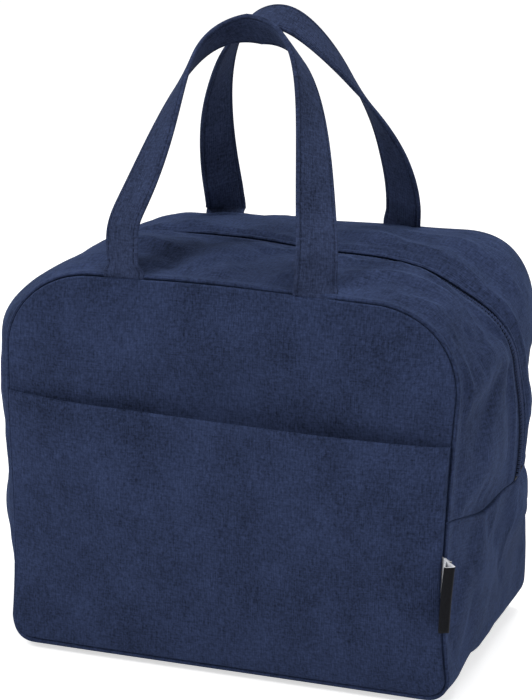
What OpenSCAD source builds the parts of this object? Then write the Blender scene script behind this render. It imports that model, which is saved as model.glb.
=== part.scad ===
// Insulated cooler bag with a zipped top, two carry handles and a front pocket.
// X runs across the front, Y runs from front to back, Z is up and the floor is Z = 0.
// Each wall is a cover of canvas, a sheet of foam and a liner. The walls are cut in two at
// the fold line, where the real cloth bends when the unzipped halves are pulled apart.

/* [Body] */
// Width of the front and back panels
body_w = 270; // [230:5:310]
// Depth between the outer faces of the panels
body_d = 166; // [140:2:190]
// Height of the front and back panels
body_h = 230; // [210:5:260]
// Corner radius at the top of the panels
top_radius = 52; // [40:1:60]
// Corner radius at the bottom of the panels
bottom_radius = 16; // [12:1:24]
// Height above the panels' bottom edge where the zip ends and the walls fold
fold_rise = 106; // [96:1:116]
// How far the sides swell out past the panels' edges
side_bulge = 14; // [8:1:18]
// How far the top swells up past the panels' edges
top_bulge = 6; // [3:1:9]
// How far the base sags below the panels' edges
base_bulge = 4; // [2:0.5:6]

/* [Layers] */
// Thickness of the outer canvas
canvas_t = 1.2; // [0.8:0.1:1.6]
// Thickness of the insulating foam
foam_t = 4; // [3:0.5:6]
// Thickness of the liner
liner_t = 0.5; // [0.3:0.1:0.8]
// Width of the tape that binds the inner seams
binding_w = 8; // [6:1:12]
// Thickness of the binding tape
binding_t = 1.4; // [1:0.1:2]

/* [Pocket] */
// Height of the pocket's mouth above the panels' bottom edge
pocket_h = 150; // [130:1:165]
// How far the pocket stands off the front panel
pocket_crown = 9; // [7:0.5:12]

/* [Zip] */
// Width of the slot between the two top gussets
zip_slot_w = 10.5; // [10:0.5:13]
// Width of one zip tape
tape_w = 12; // [10:1:15]
// Thickness of the zip tape
tape_t = 0.6; // [0.4:0.1:0.8]
// Distance from one tooth to the next on one side
tooth_pitch = 2.5; // [2.5:0.1:4]
// Thickness of a tooth along the zip
tooth_t = 1.05; // [0.8:0.05:1.15]
// Height of a tooth off the tape
tooth_h = 2; // [1.6:0.1:2.4]
// Length of a tooth across the zip
tooth_l = 3.3; // [2.9:0.1:3.5]
// How far a tooth reaches past the middle of the zip
tooth_reach = 0.6; // [0.4:0.1:0.8]
// Length of the end stops along the zip
stop_l = 2.4; // [2:0.1:3]

/* [Slider] */
// Length of the slider along the zip
slider_l = 13; // [12:0.5:15]
// Width of the slider at its wide end
slider_w = 12; // [12:0.2:13]
// Width of the slider at its narrow end
slider_tail_w = 8.6; // [8.4:0.2:9.6]
// Thickness of each slider plate
plate_t = 1.2; // [1:0.1:1.5]
// Width of the wedge that parts the teeth
wedge_w = 2.6; // [2.2:0.1:2.8]
// Width of the bridge that holds the pull
bridge_w = 2.2; // [1.8:0.1:2.6]
// Diameter of the pull's pivot bar
bar_d = 1.6; // [1.4:0.1:1.8]
// Length of the pull below its pivot
pull_l = 26; // [18:1:32]
// Width of the pull
pull_w = 8; // [7:0.5:10]
// Thickness of the pull
pull_t = 1.2; // [0.8:0.1:1.4]

/* [Handles] */
// Width of the handle strap
strap_w = 25; // [20:1:30]
// Thickness of the handle strap
strap_t = 3; // [2:0.5:4]
// Distance between the middles of a handle's two legs
leg_spacing = 115; // [100:1:130]
// Height of the handles above the panels
handle_rise = 148; // [130:1:170]
// Lean of the strap's face off upright at the top of the handle, in degrees
grip_tilt = 26; // [15:1:35]
// Space between the two handles at their tops
handle_gap = 24; // [3:1:30]

/* [Side tag] */
// Height of the side tag
tag_h = 40; // [30:1:50]
// Height of the tag's lower edge above the panels' bottom edge
tag_rise = 39; // [30:1:50]
// How far the folded tag stands out of the seam
tag_l = 14; // [10:1:16]
// Width across the tag's fold
tag_w = 6.4; // [5:0.2:8]
// Thickness of the tag's ribbon
tag_t = 0.8; // [0.5:0.1:1]
// Angle of the tag off straight forward, in degrees
tag_angle = 30; // [20:1:40]

/* [Clearances] */
// Space between layers of one body
ply_gap = 0.1; // [0.1:0.05:0.3]
// Space between soft bodies that move apart
seam_gap = 0.3; // [0.3:0.05:0.5]
// Running clearance of the slider and its pull
run_gap = 0.3; // [0.25:0.05:0.35]

/* [Hidden] */
$fn = 48;

canvas_color = [0.17, 0.22, 0.34];
strap_color = [0.14, 0.18, 0.29];
foam_color = [0.92, 0.92, 0.9];
liner_color = [0.78, 0.8, 0.82];
tape_color = [0.05, 0.06, 0.09];
metal_color = [0.2, 0.2, 0.21];

half_w = body_w / 2;
half_d = body_d / 2;
// Heights of the panels' edges and of the fold
panel_z0 = base_bulge;
panel_z1 = base_bulge + body_h;
fold_z = base_bulge + fold_rise;

// Depth of each layer's outer face below the cover's outer face
foam_in = canvas_t + ply_gap;
liner_in = foam_in + foam_t + ply_gap;
wall_in = liner_in + liner_t + ply_gap;
tape_in = canvas_t + ply_gap;
tape_back = tape_in + tape_t;

// Places across the zip, measured from its middle
slot_half = zip_slot_w / 2;
tape_edge = wedge_w / 2 + run_gap + 0.2;
foam_edge = tape_edge + tape_w + ply_gap;
liner_edge = slider_w / 2 + 2;

// The swell of a gusset: level over the middle, falling to the seams
swell_power = 3.2;
swell_level = 1.1;
swell_fade_h = 60;
function swell(y) = min(1, swell_level * (1 - pow(min(1, abs(y) / half_d), swell_power)));
function smooth(a) = let (c = max(0, min(1, a))) c * c * (3 - 2 * c);

// A station is a place on the panels' edge: [x, z, outward x, outward z, swell there]
function upper_swell(z) = top_bulge + (side_bulge - top_bulge) * smooth((panel_z1 - z) / top_radius);
function lower_swell(z) = base_bulge + (side_bulge - base_bulge) * smooth((z - panel_z0) / swell_fade_h);
top_steps = 10;
bottom_steps = 5;
function top_corner(side, a) = let (
    x = side * (half_w - top_radius + top_radius * cos(a)),
    z = panel_z1 - top_radius + top_radius * sin(a)
  ) [x, z, side * cos(a), sin(a), upper_swell(z)];
function bottom_corner(side, a) = let (
    x = side * (half_w - bottom_radius + bottom_radius * cos(a)),
    z = panel_z0 + bottom_radius - bottom_radius * sin(a)
  ) [x, z, side * cos(a), -sin(a), lower_swell(z)];
function side_place(side, z) = [side * half_w, z, side, 0, side_bulge];
function low_side_place(side, z) = [side * half_w, z, side, 0, lower_swell(z)];
function upper_stations(z) = concat(
    [side_place(-1, z)],
    [for (i = [0:top_steps]) top_corner(-1, i * 90 / top_steps)],
    [for (i = [top_steps:-1:0]) top_corner(1, i * 90 / top_steps)],
    [side_place(1, z)]
  );
low_side_z = [for (i = [0:3]) panel_z0 + swell_fade_h - i * (swell_fade_h - bottom_radius) / 4];
lower_stations = concat(
    [low_side_place(1, fold_z)],
    [for (i = [0:3]) low_side_place(1, low_side_z[i])],
    [for (i = [0:bottom_steps]) bottom_corner(1, i * 90 / bottom_steps)],
    [for (i = [bottom_steps:-1:0]) bottom_corner(-1, i * 90 / bottom_steps)],
    [for (i = [3:-1:0]) low_side_place(-1, low_side_z[i])],
    [low_side_place(-1, fold_z)]
  );
function wall_point(s, y, depth) = let (d = s[4] * swell(y) - depth) [s[0] + s[2] * d, y, s[1] + s[3] * d];

// Places across half a gusset where its curve is sampled, as shares of the half depth
swell_samples = [0.955, 0.91, 0.82, 0.7, 0.5, 0.3];
function front_samples(y0) = concat([y0], [for (t = swell_samples) if (t * half_d < abs(y0) - 1) -t * half_d]);
function half_samples(y0, y1) = concat(front_samples(y0), [y1]);
function full_samples(y0) = let (h = front_samples(y0)) concat(h, [for (i = [len(h) - 1:-1:0]) -h[i]]);

// Closed solid through rings of points; the first and last rings are its end faces. A ring runs along
// one face and back along the other, and the quads of both are split along the same diagonal.
module loft(rings) {
  n = len(rings[0]);
  last = len(rings) - 1;
  sides = [for (i = [0:last - 1]) for (j = [0:n - 1]) let (
      a = i * n + j,
      b = i * n + (j + 1) % n,
      c = (i + 1) * n + (j + 1) % n,
      d = (i + 1) * n + j
    ) each j < n / 2 ? [[a, b, c], [a, c, d]] : [[a, b, d], [b, c, d]]];
  first_end = [for (j = [n - 1:-1:0]) j];
  last_end = [for (j = [0:n - 1]) last * n + j];
  polyhedron(points = [for (r = rings) for (p = r) p], faces = concat(sides, [first_end], [last_end]));
}

// One layer of a gusset, between two depths below the cover's outer face
module gusset_layer(stations, ys, depth, thickness) {
  loft([for (s = stations) concat(
    [for (y = ys) wall_point(s, y, depth)],
    [for (i = [len(ys) - 1:-1:0]) wall_point(s, ys[i], depth + thickness)]
  )]);
}

module flip_y() { mirror([0, 1, 0]) children(); }

// Panel outline in the X-Z plane, moved in from the edge
module panel_outline(inset) {
  rt = top_radius - inset;
  rb = bottom_radius - inset;
  for (side = [-1, 1]) {
    translate([side * (half_w - top_radius), panel_z1 - top_radius]) circle(r = rt);
    translate([side * (half_w - bottom_radius), panel_z0 + bottom_radius]) circle(r = rb);
  }
  translate([-(half_w - inset), panel_z0 + bottom_radius])
    square([2 * (half_w - inset), body_h - top_radius - bottom_radius]);
  translate([-(half_w - bottom_radius), panel_z0 + inset]) square([2 * (half_w - bottom_radius), bottom_radius]);
  translate([-(half_w - top_radius), panel_z1 - top_radius - 1]) square([2 * (half_w - top_radius), rt + 1]);
}
module above_fold() {
  intersection() {
    children();
    translate([-body_w, fold_z + seam_gap]) square([2 * body_w, body_h]);
  }
}
module below_fold() {
  intersection() {
    children();
    translate([-body_w, 0]) square([2 * body_w, fold_z]);
  }
}
// Stands an X-Z outline up as a sheet whose front face is at y
module sheet_at(y, thickness) {
  translate([0, y + thickness, 0]) rotate([90, 0, 0]) linear_extrude(thickness) children();
}
module front_cover() { sheet_at(-half_d, canvas_t) children(); }
module front_foam() { sheet_at(-half_d + foam_in, foam_t) children(); }
module front_liner() { sheet_at(-half_d + liner_in, liner_t) children(); }
module front_binding() {
  sheet_at(-half_d + wall_in, binding_w) children();
}
module binding_outline() {
  difference() {
    panel_outline(wall_in);
    panel_outline(wall_in + binding_t);
  }
}

module front_panel_lower() { color(canvas_color) front_cover() below_fold() panel_outline(0); }
module front_panel_upper() { color(canvas_color) front_cover() above_fold() panel_outline(0); }
module front_foam_lower() { color(foam_color) front_foam() below_fold() panel_outline(foam_in); }
module front_foam_upper() { color(foam_color) front_foam() above_fold() panel_outline(foam_in); }
module front_liner_lower() { color(liner_color) front_liner() below_fold() panel_outline(foam_in); }
module front_liner_upper() { color(liner_color) front_liner() above_fold() panel_outline(foam_in); }
module front_binding_lower() { color(tape_color) front_binding() below_fold() binding_outline(); }
module front_binding_upper() { color(tape_color) front_binding() above_fold() binding_outline(); }
module back_panel_lower() { flip_y() front_panel_lower(); }
module back_panel_upper() { flip_y() front_panel_upper(); }
module back_foam_lower() { flip_y() front_foam_lower(); }
module back_foam_upper() { flip_y() front_foam_upper(); }
module back_liner_lower() { flip_y() front_liner_lower(); }
module back_liner_upper() { flip_y() front_liner_upper(); }
module back_binding_lower() { flip_y() front_binding_lower(); }
module back_binding_upper() { flip_y() front_binding_upper(); }

// Gussets: the base one runs round the bottom, the zip ones run over the top
cover_start = -half_d + canvas_t;
lining_start = -half_d + wall_in;
module base_gusset() {
  color(canvas_color) gusset_layer(lower_stations, full_samples(cover_start), 0, canvas_t);
}
module base_gusset_foam() {
  color(foam_color) gusset_layer(lower_stations, full_samples(lining_start), foam_in, foam_t);
}
module base_gusset_liner() {
  color(liner_color) gusset_layer(lower_stations, full_samples(lining_start), liner_in, liner_t);
}
zip_stations = upper_stations(fold_z + seam_gap);
module zip_gusset_front() {
  color(canvas_color) gusset_layer(zip_stations, half_samples(cover_start, -slot_half), 0, canvas_t);
}
module zip_gusset_foam_front() {
  color(foam_color) gusset_layer(zip_stations, half_samples(lining_start, -foam_edge), foam_in, foam_t);
}
module zip_gusset_liner_front() {
  color(liner_color) gusset_layer(zip_stations, half_samples(lining_start, -liner_edge), liner_in, liner_t);
}
module zip_gusset_back() { flip_y() zip_gusset_front(); }
module zip_gusset_foam_back() { flip_y() zip_gusset_foam_front(); }
module zip_gusset_liner_back() { flip_y() zip_gusset_liner_front(); }

// Pocket: a sheet that stands off the front panel, closed at its sides and bottom. It is flat over
// its middle and upright above the fold.
pocket_z1 = panel_z0 + pocket_h;
pocket_flat = 0.4;
pocket_side = [0.4, 0.6, 0.75, 0.87, 0.95, 1];
pocket_across = concat([for (i = [len(pocket_side) - 1:-1:0]) -pocket_side[i]], pocket_side);
pocket_rise = [0.15, 0.35, 0.6, 1];
// The seam along the pocket's bottom, just above the panel's edge
pocket_z0 = panel_z0 + 1;
function pocket_half_w(z) = let (c = max(0, panel_z0 + bottom_radius - z))
  half_w - bottom_radius + sqrt(max(0, bottom_radius * bottom_radius - c * c));
function pocket_off(t, z) = let (
    u = max(0, abs(t) - pocket_flat) / (1 - pocket_flat),
    h = 1 - min(1, (z - panel_z0) / (fold_z - panel_z0))
  ) ply_gap + pocket_crown * (1 - pow(u, 2.2)) * (1 - h * h);
function pocket_ring(z) = concat(
    [for (t = pocket_across) [t * pocket_half_w(z), -half_d - pocket_off(t, z), z]],
    [for (t = pocket_across) [-t * pocket_half_w(z), -half_d - pocket_off(t, z) - canvas_t, z]]
  );
corner_rows = concat([pocket_z0], [for (a = [30:30:90]) panel_z0 + bottom_radius * (1 - cos(a))]);
module pocket_lower() {
  rows = concat(corner_rows, [for (r = pocket_rise) if (r * (fold_z - panel_z0) > bottom_radius + 2)
    panel_z0 + r * (fold_z - panel_z0)]);
  color(canvas_color) loft([for (z = rows) pocket_ring(z)]);
}
module pocket_upper() {
  z0 = fold_z + seam_gap;
  color(canvas_color) translate([0, 0, z0]) linear_extrude(pocket_z1 - z0)
    polygon([for (p = pocket_ring(z0)) [p[0], p[1]]]);
}

// Zip: two tapes under the gussets' edges, with a row of teeth on each
chain_z0 = fold_z + stop_l + 2 * seam_gap;
chain_stations = upper_stations(chain_z0);
module zip_tape_front() {
  color(tape_color) gusset_layer(chain_stations, [-tape_edge - tape_w, -tape_edge], tape_in, tape_t);
}
module zip_tape_back() { flip_y() zip_tape_front(); }

// Places along the zip, half a pitch apart, as [x, z, angle of the outward normal, side of the bag]
straight_l = panel_z1 - top_radius - chain_z0;
corner_l = (top_radius + (side_bulge + top_bulge) / 2) * PI / 2;
top_l = body_w - 2 * top_radius;
function steps(l) = 2 * round(l / tooth_pitch);
straight_n = steps(straight_l);
corner_n = steps(corner_l);
top_n = steps(top_l);
function chain_side(k) = [-half_w - side_bulge, chain_z0 + (k + 0.5) * straight_l / straight_n, 180];
function chain_corner(k) = let (
    a = (k + 0.5) * 90 / corner_n,
    s = top_corner(-1, a)
  ) [s[0] + s[2] * s[4], s[1] + s[3] * s[4], 180 - a];
function chain_top(k) = [-half_w + top_radius + (k + 0.5) * top_l / top_n, panel_z1 + top_bulge, 90];
function chain_half(k) = k < straight_n ? chain_side(k)
  : k < straight_n + corner_n ? chain_corner(k - straight_n)
  : chain_top(k - straight_n - corner_n);
chain_n = 2 * (straight_n + corner_n) + top_n;
function chain_place(k) = k < straight_n + corner_n + top_n ? chain_half(k)
  : let (m = chain_half(chain_n - 1 - k)) [-m[0], m[1], 180 - m[2]];

// The teeth part round the wedge of the slider, which rests at the lower left end
slider_z = chain_z0 + 1;
wedge_l = slider_l / 2;
teeth_part = wedge_w / 2 + run_gap + tooth_reach;
function parting(p) = p[0] > 0 ? 0 : teeth_part * (1 - smooth((p[1] - slider_z - wedge_l + 1) / (slider_l - wedge_l)));

// A tooth across the zip: a bar with rounded ends, standing on the tape
module tooth(p, outward) {
  translate([p[0], 0, p[1]]) rotate([0, -p[2], 0]) translate([-tape_in, outward - tooth_reach, 0])
    cube_tooth();
}
module cube_tooth() {
  r = tooth_h / 2;
  translate([0, 0, -tooth_t / 2]) linear_extrude(tooth_t) union() {
    translate([0, r]) square([tooth_h, tooth_l - 2 * r]);
    translate([r, r]) circle(r = r);
    translate([r, tooth_l - r]) circle(r = r);
  }
}
module zip_teeth_front() {
  color(tape_color) flip_y() for (k = [0:2:chain_n - 1]) tooth(chain_place(k), parting(chain_place(k)));
}
module zip_teeth_back() {
  color(tape_color) for (k = [1:2:chain_n - 1]) tooth(chain_place(k), parting(chain_place(k)));
}
module zip_stops() {
  stop_w = zip_slot_w - 2 * seam_gap;
  stop_out = 0.6;
  for (side = [-1, 1])
    color(metal_color) translate([side * (half_w + side_bulge + (stop_out - tape_back) / 2), 0, fold_z + stop_l / 2])
      cube([stop_out + tape_back, stop_w, stop_l], center = true);
}

// Slider, drawn lying down: X along the zip with the wedge end at 0, Y across, Z out of the bag
module on_zip() {
  translate([-half_w - side_bulge, 0, slider_z]) rotate([0, -90, 0]) children();
}
tooth_top = tooth_h - tape_in;
plate_z = tooth_top + run_gap;
plate_top = plate_z + plate_t;
inner_top = -tape_back - run_gap;
bar_x = slider_l * 0.58;
bar_z = plate_top + run_gap + bar_d / 2;
bridge_in = bar_d / 2 + run_gap;
bridge_out = bridge_in + 1.2;
flange_t = 0.8;
module slider_outline() {
  shoulder = slider_l * 0.45;
  polygon([
    [0, -slider_w / 2 + 1], [1, -slider_w / 2], [shoulder, -slider_w / 2],
    [slider_l - 1, -slider_tail_w / 2], [slider_l, -slider_tail_w / 2 + 1],
    [slider_l, slider_tail_w / 2 - 1], [slider_l - 1, slider_tail_w / 2],
    [shoulder, slider_w / 2], [1, slider_w / 2], [0, slider_w / 2 - 1]
  ]);
}
module slider_channel() {
  shoulder = slider_l * 0.45;
  polygon([
    [-1, -slider_w / 2 + flange_t], [shoulder, -slider_w / 2 + flange_t],
    [slider_l + 1, -slider_tail_w / 2 + flange_t * 0.6],
    [slider_l + 1, slider_tail_w / 2 - flange_t * 0.6],
    [shoulder, slider_w / 2 - flange_t], [-1, slider_w / 2 - flange_t]
  ]);
}
module slider_body() {
  color(metal_color) on_zip() {
    translate([0, 0, plate_z]) linear_extrude(plate_t) slider_outline();
    translate([0, 0, inner_top - plate_t]) linear_extrude(plate_t) slider_outline();
    translate([0, 0, run_gap]) linear_extrude(plate_z - run_gap) difference() {
      slider_outline();
      slider_channel();
    }
    translate([0, 0, inner_top]) linear_extrude(plate_z - inner_top)
      polygon([[0.4, -wedge_w / 2], [wedge_l * 0.55, -wedge_w / 2], [wedge_l, 0], [wedge_l * 0.55, wedge_w / 2],
        [0.4, wedge_w / 2]]);
    translate([bar_x, bridge_w / 2, bar_z]) rotate([90, 0, 0]) linear_extrude(bridge_w) difference() {
      union() {
        circle(r = bridge_out);
        translate([-bridge_out, -(bar_z - plate_top)]) square([2 * bridge_out, bar_z - plate_top]);
      }
      circle(r = bridge_in);
      translate([-bridge_in, -(bar_z - plate_top)]) square([2 * bridge_in, bar_z - plate_top]);
      translate([-2 * bridge_out, -(bar_z - plate_top) - bridge_out]) square([4 * bridge_out, bridge_out]);
    }
  }
}
module pull_tab() {
  window_l = bridge_out + run_gap;
  window_w = bridge_w + 2 * run_gap;
  color(metal_color) on_zip() translate([bar_x, 0, bar_z]) {
    rotate([90, 0, 0]) cylinder(d = bar_d, h = window_w + 2, center = true);
    translate([0, 0, -pull_t / 2]) linear_extrude(pull_t) difference() {
      union() {
        translate([-pull_l + pull_w / 2, -pull_w / 2]) square([pull_l - pull_w / 2 - window_l, pull_w]);
        translate([-pull_l + pull_w / 2, 0]) circle(d = pull_w);
        translate([-window_l, -window_w / 2 - 1.4]) square([window_l + pull_t / 2, window_w + 2.8]);
      }
      translate([-window_l, -window_w / 2]) square([window_l + pull_t, window_w]);
      translate([-pull_l + pull_w / 2, 0]) circle(d = pull_w * 0.4);
    }
  }
}

// Handles: a strap sewn in at each end, arching over and twisting towards its twin
hinge_y = -half_d - seam_gap - strap_t / 2;
hinge_z = panel_z1 + 0.5;
grip_y = -(strap_w / 2 * sin(grip_tilt) + strap_t / 2 * cos(grip_tilt) + handle_gap / 2);
grip_z = panel_z1 + handle_rise - strap_w / 2 * cos(grip_tilt) - strap_t / 2 * sin(grip_tilt);
lean = atan2(grip_y - hinge_y, grip_z - hinge_z);
arch_h = norm([grip_y - hinge_y, grip_z - hinge_z]);
grip_roll = 180 - lean - grip_tilt;
arch_steps = 22;
function bezier(t, a, b, c, d) = pow(1 - t, 3) * a + 3 * pow(1 - t, 2) * t * b + 3 * (1 - t) * t * t * c + t * t * t * d;
// Half the arch in its own plane: across and up
leg_half = leg_spacing / 2;
function arch(t) = bezier(t, [leg_half, 0], [leg_half, arch_h * 0.56], [leg_half * 0.66, arch_h], [0, arch_h]);
function arch_way(t) = let (d = arch(min(1, t + 0.01)) - arch(max(0, t - 0.01))) d / norm(d);
function in_lean(u, v, n) = [u, hinge_y + v * sin(lean) - n * cos(lean), hinge_z + v * cos(lean) + n * sin(lean)];
function strap_ring(side, t) = let (
    p = arch(t),
    w = t > 0.995 ? [-1, 0] : arch_way(t),
    roll = grip_roll * smooth((t - 0.12) / 0.8),
    out = [w[1], -w[0]],
    c = cos(roll),
    s = sin(roll)
  ) [for (k = [[-1, -1], [1, -1], [1, 1], [-1, 1]]) let (
      a = k[0] * strap_w / 2,
      b = k[1] * strap_t / 2,
      off = a * c + b * s,
      n = -a * s + b * c
    ) in_lean(side * (p[0] + out[0] * off), p[1] + out[1] * off, n)];
// The strap's lower end is rounded about the hinge axis
end_steps = 4;
function end_ring(side, a) = [for (k = [[-1, -1], [1, -1], [1, 1], [-1, 1]])
  in_lean(side * (leg_half + k[0] * strap_w / 2), -strap_t / 2 * sin(a), k[1] * strap_t / 2 * cos(a))];
function half_rings(side) = concat(
    [for (i = [end_steps:-1:1]) end_ring(side, i * 80 / end_steps)],
    [for (i = [0:arch_steps - 1]) strap_ring(side, i / arch_steps)]
  );
function reversed(list) = [for (i = [len(list) - 1:-1:0]) list[i]];
module front_handle() {
  color(strap_color) loft(concat(half_rings(1), [strap_ring(1, 1)], reversed(half_rings(-1))));
}
module back_handle() { flip_y() front_handle(); }

// Side tag: a ribbon folded into a loop, closed at the side seam and open at its top and bottom
tag_root = [half_w + tag_t + 2 * seam_gap, -half_d - seam_gap - 0.2];
tag_fold_r = tag_w / 4;
tag_fold_steps = 4;
// One side of the loop, from the seam to the middle of the fold
function tag_edge(inset) = concat(
    [[max(0, tag_t - inset), 2 * inset]],
    [for (i = [0:tag_fold_steps]) let (a = i * 90 / tag_fold_steps) [
      tag_w / 2 - tag_fold_r + (tag_fold_r - inset) * cos(a),
      tag_l - tag_fold_r + (tag_fold_r - inset) * sin(a)
    ]]
  );
module tag_outline(inset) {
  edge = tag_edge(inset);
  polygon(concat(edge, [for (i = [len(edge) - 1:-1:0]) if (edge[i][0] > 0) [-edge[i][0], edge[i][1]]]));
}
module side_tag() {
  color(tape_color) translate([tag_root[0], tag_root[1], panel_z0 + tag_rise])
    rotate([0, 0, 180 + tag_angle]) linear_extrude(tag_h) difference() {
      tag_outline(0);
      tag_outline(tag_t);
    }
}

front_panel_lower();
front_panel_upper();
back_panel_lower();
back_panel_upper();
base_gusset();
zip_gusset_front();
zip_gusset_back();
pocket_lower();
pocket_upper();
front_foam_lower();
front_foam_upper();
back_foam_lower();
back_foam_upper();
base_gusset_foam();
zip_gusset_foam_front();
zip_gusset_foam_back();
front_liner_lower();
front_liner_upper();
back_liner_lower();
back_liner_upper();
base_gusset_liner();
zip_gusset_liner_front();
zip_gusset_liner_back();
front_binding_lower();
front_binding_upper();
back_binding_lower();
back_binding_upper();
zip_tape_front();
zip_tape_back();
zip_teeth_front();
zip_teeth_back();
zip_stops();
slider_body();
pull_tab();
front_handle();
back_handle();
side_tag();
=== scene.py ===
import math
from types import SimpleNamespace

import bmesh
import bpy
import numpy as np
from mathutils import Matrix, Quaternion, Vector


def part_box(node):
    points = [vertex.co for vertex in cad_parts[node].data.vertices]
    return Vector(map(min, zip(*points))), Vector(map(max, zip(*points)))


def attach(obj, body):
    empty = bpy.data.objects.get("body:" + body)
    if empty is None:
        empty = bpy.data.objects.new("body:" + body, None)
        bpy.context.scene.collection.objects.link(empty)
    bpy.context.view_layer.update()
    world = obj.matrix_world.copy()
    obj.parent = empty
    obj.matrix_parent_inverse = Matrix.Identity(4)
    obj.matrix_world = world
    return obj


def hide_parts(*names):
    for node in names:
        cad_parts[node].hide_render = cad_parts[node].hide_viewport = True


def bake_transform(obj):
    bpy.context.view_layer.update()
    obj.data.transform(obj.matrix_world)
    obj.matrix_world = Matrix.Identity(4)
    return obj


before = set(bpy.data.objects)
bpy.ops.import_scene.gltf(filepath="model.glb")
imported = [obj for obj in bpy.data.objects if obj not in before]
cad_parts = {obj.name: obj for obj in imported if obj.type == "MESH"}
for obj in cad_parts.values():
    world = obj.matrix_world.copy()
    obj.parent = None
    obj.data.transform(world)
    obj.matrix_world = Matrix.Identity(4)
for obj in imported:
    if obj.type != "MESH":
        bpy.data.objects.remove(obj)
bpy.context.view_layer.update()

# ---- sizes, in metres
panel_lo, panel_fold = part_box("front_panel_lower")
panel_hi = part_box("front_panel_upper")[1]
gusset_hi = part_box("zip_gusset_front")[1]
foam_lo, foam_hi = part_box("front_foam_upper")
liner_lo, liner_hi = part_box("front_liner_upper")
binding_lo, binding_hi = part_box("front_binding_upper")
tape_lo, tape_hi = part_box("zip_tape_front")
pocket_lo, pocket_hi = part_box("pocket_upper")
tag_lo, tag_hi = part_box("side_tag")

HALF_W = panel_hi.x
HALF_D = -panel_lo.y
PANEL_Z0 = panel_lo.z
PANEL_Z1 = panel_hi.z
FOLD_Z = panel_fold.z
TOP_R = 0.052
BOTTOM_R = 0.016
SIDE_BULGE = gusset_hi.x - HALF_W
TOP_BULGE = gusset_hi.z - PANEL_Z1
BASE_BULGE = PANEL_Z0
CANVAS_T = panel_fold.y - panel_lo.y
FOAM_IN = foam_lo.y + HALF_D
FOAM_T = foam_hi.y - foam_lo.y
LINER_IN = liner_lo.y + HALF_D
LINER_T = liner_hi.y - liner_lo.y
WALL_IN = LINER_IN + LINER_T
SLOT_HALF = -gusset_hi.y
TAPE_IN = 0.0013
TAPE_T = 0.0006
TAPE_EDGE = -tape_hi.y
TAPE_W = tape_hi.y - tape_lo.y
TOOTH_PITCH = 0.0025
POCKET_Z1 = pocket_hi.z + 0.0035
SEAM_Z = FOLD_Z + 0.003
FLOOR_GAP = 0.0002
POCKET_OUT = -pocket_lo.y - HALF_D - CANVAS_T
BINDING_W = binding_hi.y - binding_lo.y
BINDING_T = 0.0014
BINDING_OFF = 0.0008
BINDING_CLEAR = 0.0005


# ---- helpers
def smooth(a):
    c = np.clip(a, 0.0, 1.0)
    return c * c * (3 - 2 * c)


def bell(a, middle, width):
    """1 at the middle, falling away on both sides over about a width."""
    return np.exp(-(((a - middle) / width) ** 2))


def run_along(points):
    """Length of a line up to each of its points."""
    return np.concatenate([[0], np.cumsum(np.linalg.norm(np.diff(points, axis=0), axis=1))])


def sampled(places, run, values):
    """Rows of values, given at lengths run, at other places along it."""
    return np.stack([np.interp(places, run, column) for column in values.T], -1)


def unit(ways):
    return ways / np.linalg.norm(ways, axis=1)[:, None]


def weave(across, along):
    """Cloth coordinates of a grid, in metres."""
    return np.stack(np.broadcast_arrays(across[None, :], along[:, None]), -1)


def ripples(a, b, wave_a, wave_b, seed, count=9):
    """Smooth random waves of about unit height over two lengths, the same on every run."""
    rng = np.random.default_rng(seed)
    total = np.zeros(np.broadcast(a, b).shape)
    for _ in range(count):
        turn = rng.uniform(-0.5, 0.5)
        stretch = rng.uniform(0.6, 1.6)
        phase = rng.uniform(0, 2 * math.pi)
        ka = 2 * math.pi / (wave_a * stretch) * math.cos(turn)
        kb = 2 * math.pi / (wave_b * stretch) * math.sin(turn + rng.choice([-1.0, 1.0]) * 0.7)
        total = total + np.cos(ka * a + kb * b + phase)
    return total / math.sqrt(count / 2)


def graded(count, share=0.7):
    """Numbers from -1 to 1 that crowd towards both ends."""
    c = np.linspace(-1, 1, count)
    return (1 - share) * c + share * np.sin(c * math.pi / 2)


def mesh_object(name, points, faces, uvs, materials, outward=None):
    """A mesh with its cloth coordinates in metres. outward gives a rough outward direction at a place."""
    mesh = bpy.data.meshes.new(name)
    mesh.from_pydata([tuple(p) for p in points], [], [tuple(f) for f in faces])
    joined = bmesh.new()
    joined.from_mesh(mesh)
    bmesh.ops.recalc_face_normals(joined, faces=joined.faces)
    joined.to_mesh(mesh)
    joined.free()
    mesh.update()
    layer = mesh.uv_layers.new(name="cloth")
    loops = np.zeros(len(mesh.loops), dtype=np.int32)
    mesh.loops.foreach_get("vertex_index", loops)
    layer.data.foreach_set("uv", np.asarray(uvs, dtype=np.float32)[loops].ravel())
    if outward and sum(Vector(outward(p.center)).dot(p.normal) for p in mesh.polygons) < 0:
        mesh.flip_normals()
    mesh.shade_smooth()
    for material in materials:
        mesh.materials.append(material)
    return placed(name, mesh)


def placed(name, data):
    obj = bpy.data.objects.new(name, data)
    bpy.context.collection.objects.link(obj)
    return obj


def grid_faces(rows, columns, closed=False):
    index = np.arange(rows * columns).reshape(rows, columns)
    if closed:
        index = np.concatenate([index, index[:, :1]], axis=1)
    a = index[:-1, :-1]
    b = index[:-1, 1:]
    c = index[1:, 1:]
    d = index[1:, :-1]
    return np.stack([a, b, c, d], -1).reshape(-1, 4)


def repeated(faces, size, count):
    """The faces of several copies of a mesh with so many points."""
    return (faces + size * np.arange(count)[:, None, None]).reshape(-1, 4)


def thicken(obj, thickness, material_offset=0):
    mod = obj.modifiers.new("thickness", "SOLIDIFY")
    mod.thickness = thickness
    mod.offset = -1
    mod.use_even_offset = True
    mod.material_offset = material_offset
    mod.material_offset_rim = material_offset


def away_from_middle(centre):
    return (centre.x, centre.y * 0.2, centre.z - 0.12)


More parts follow.
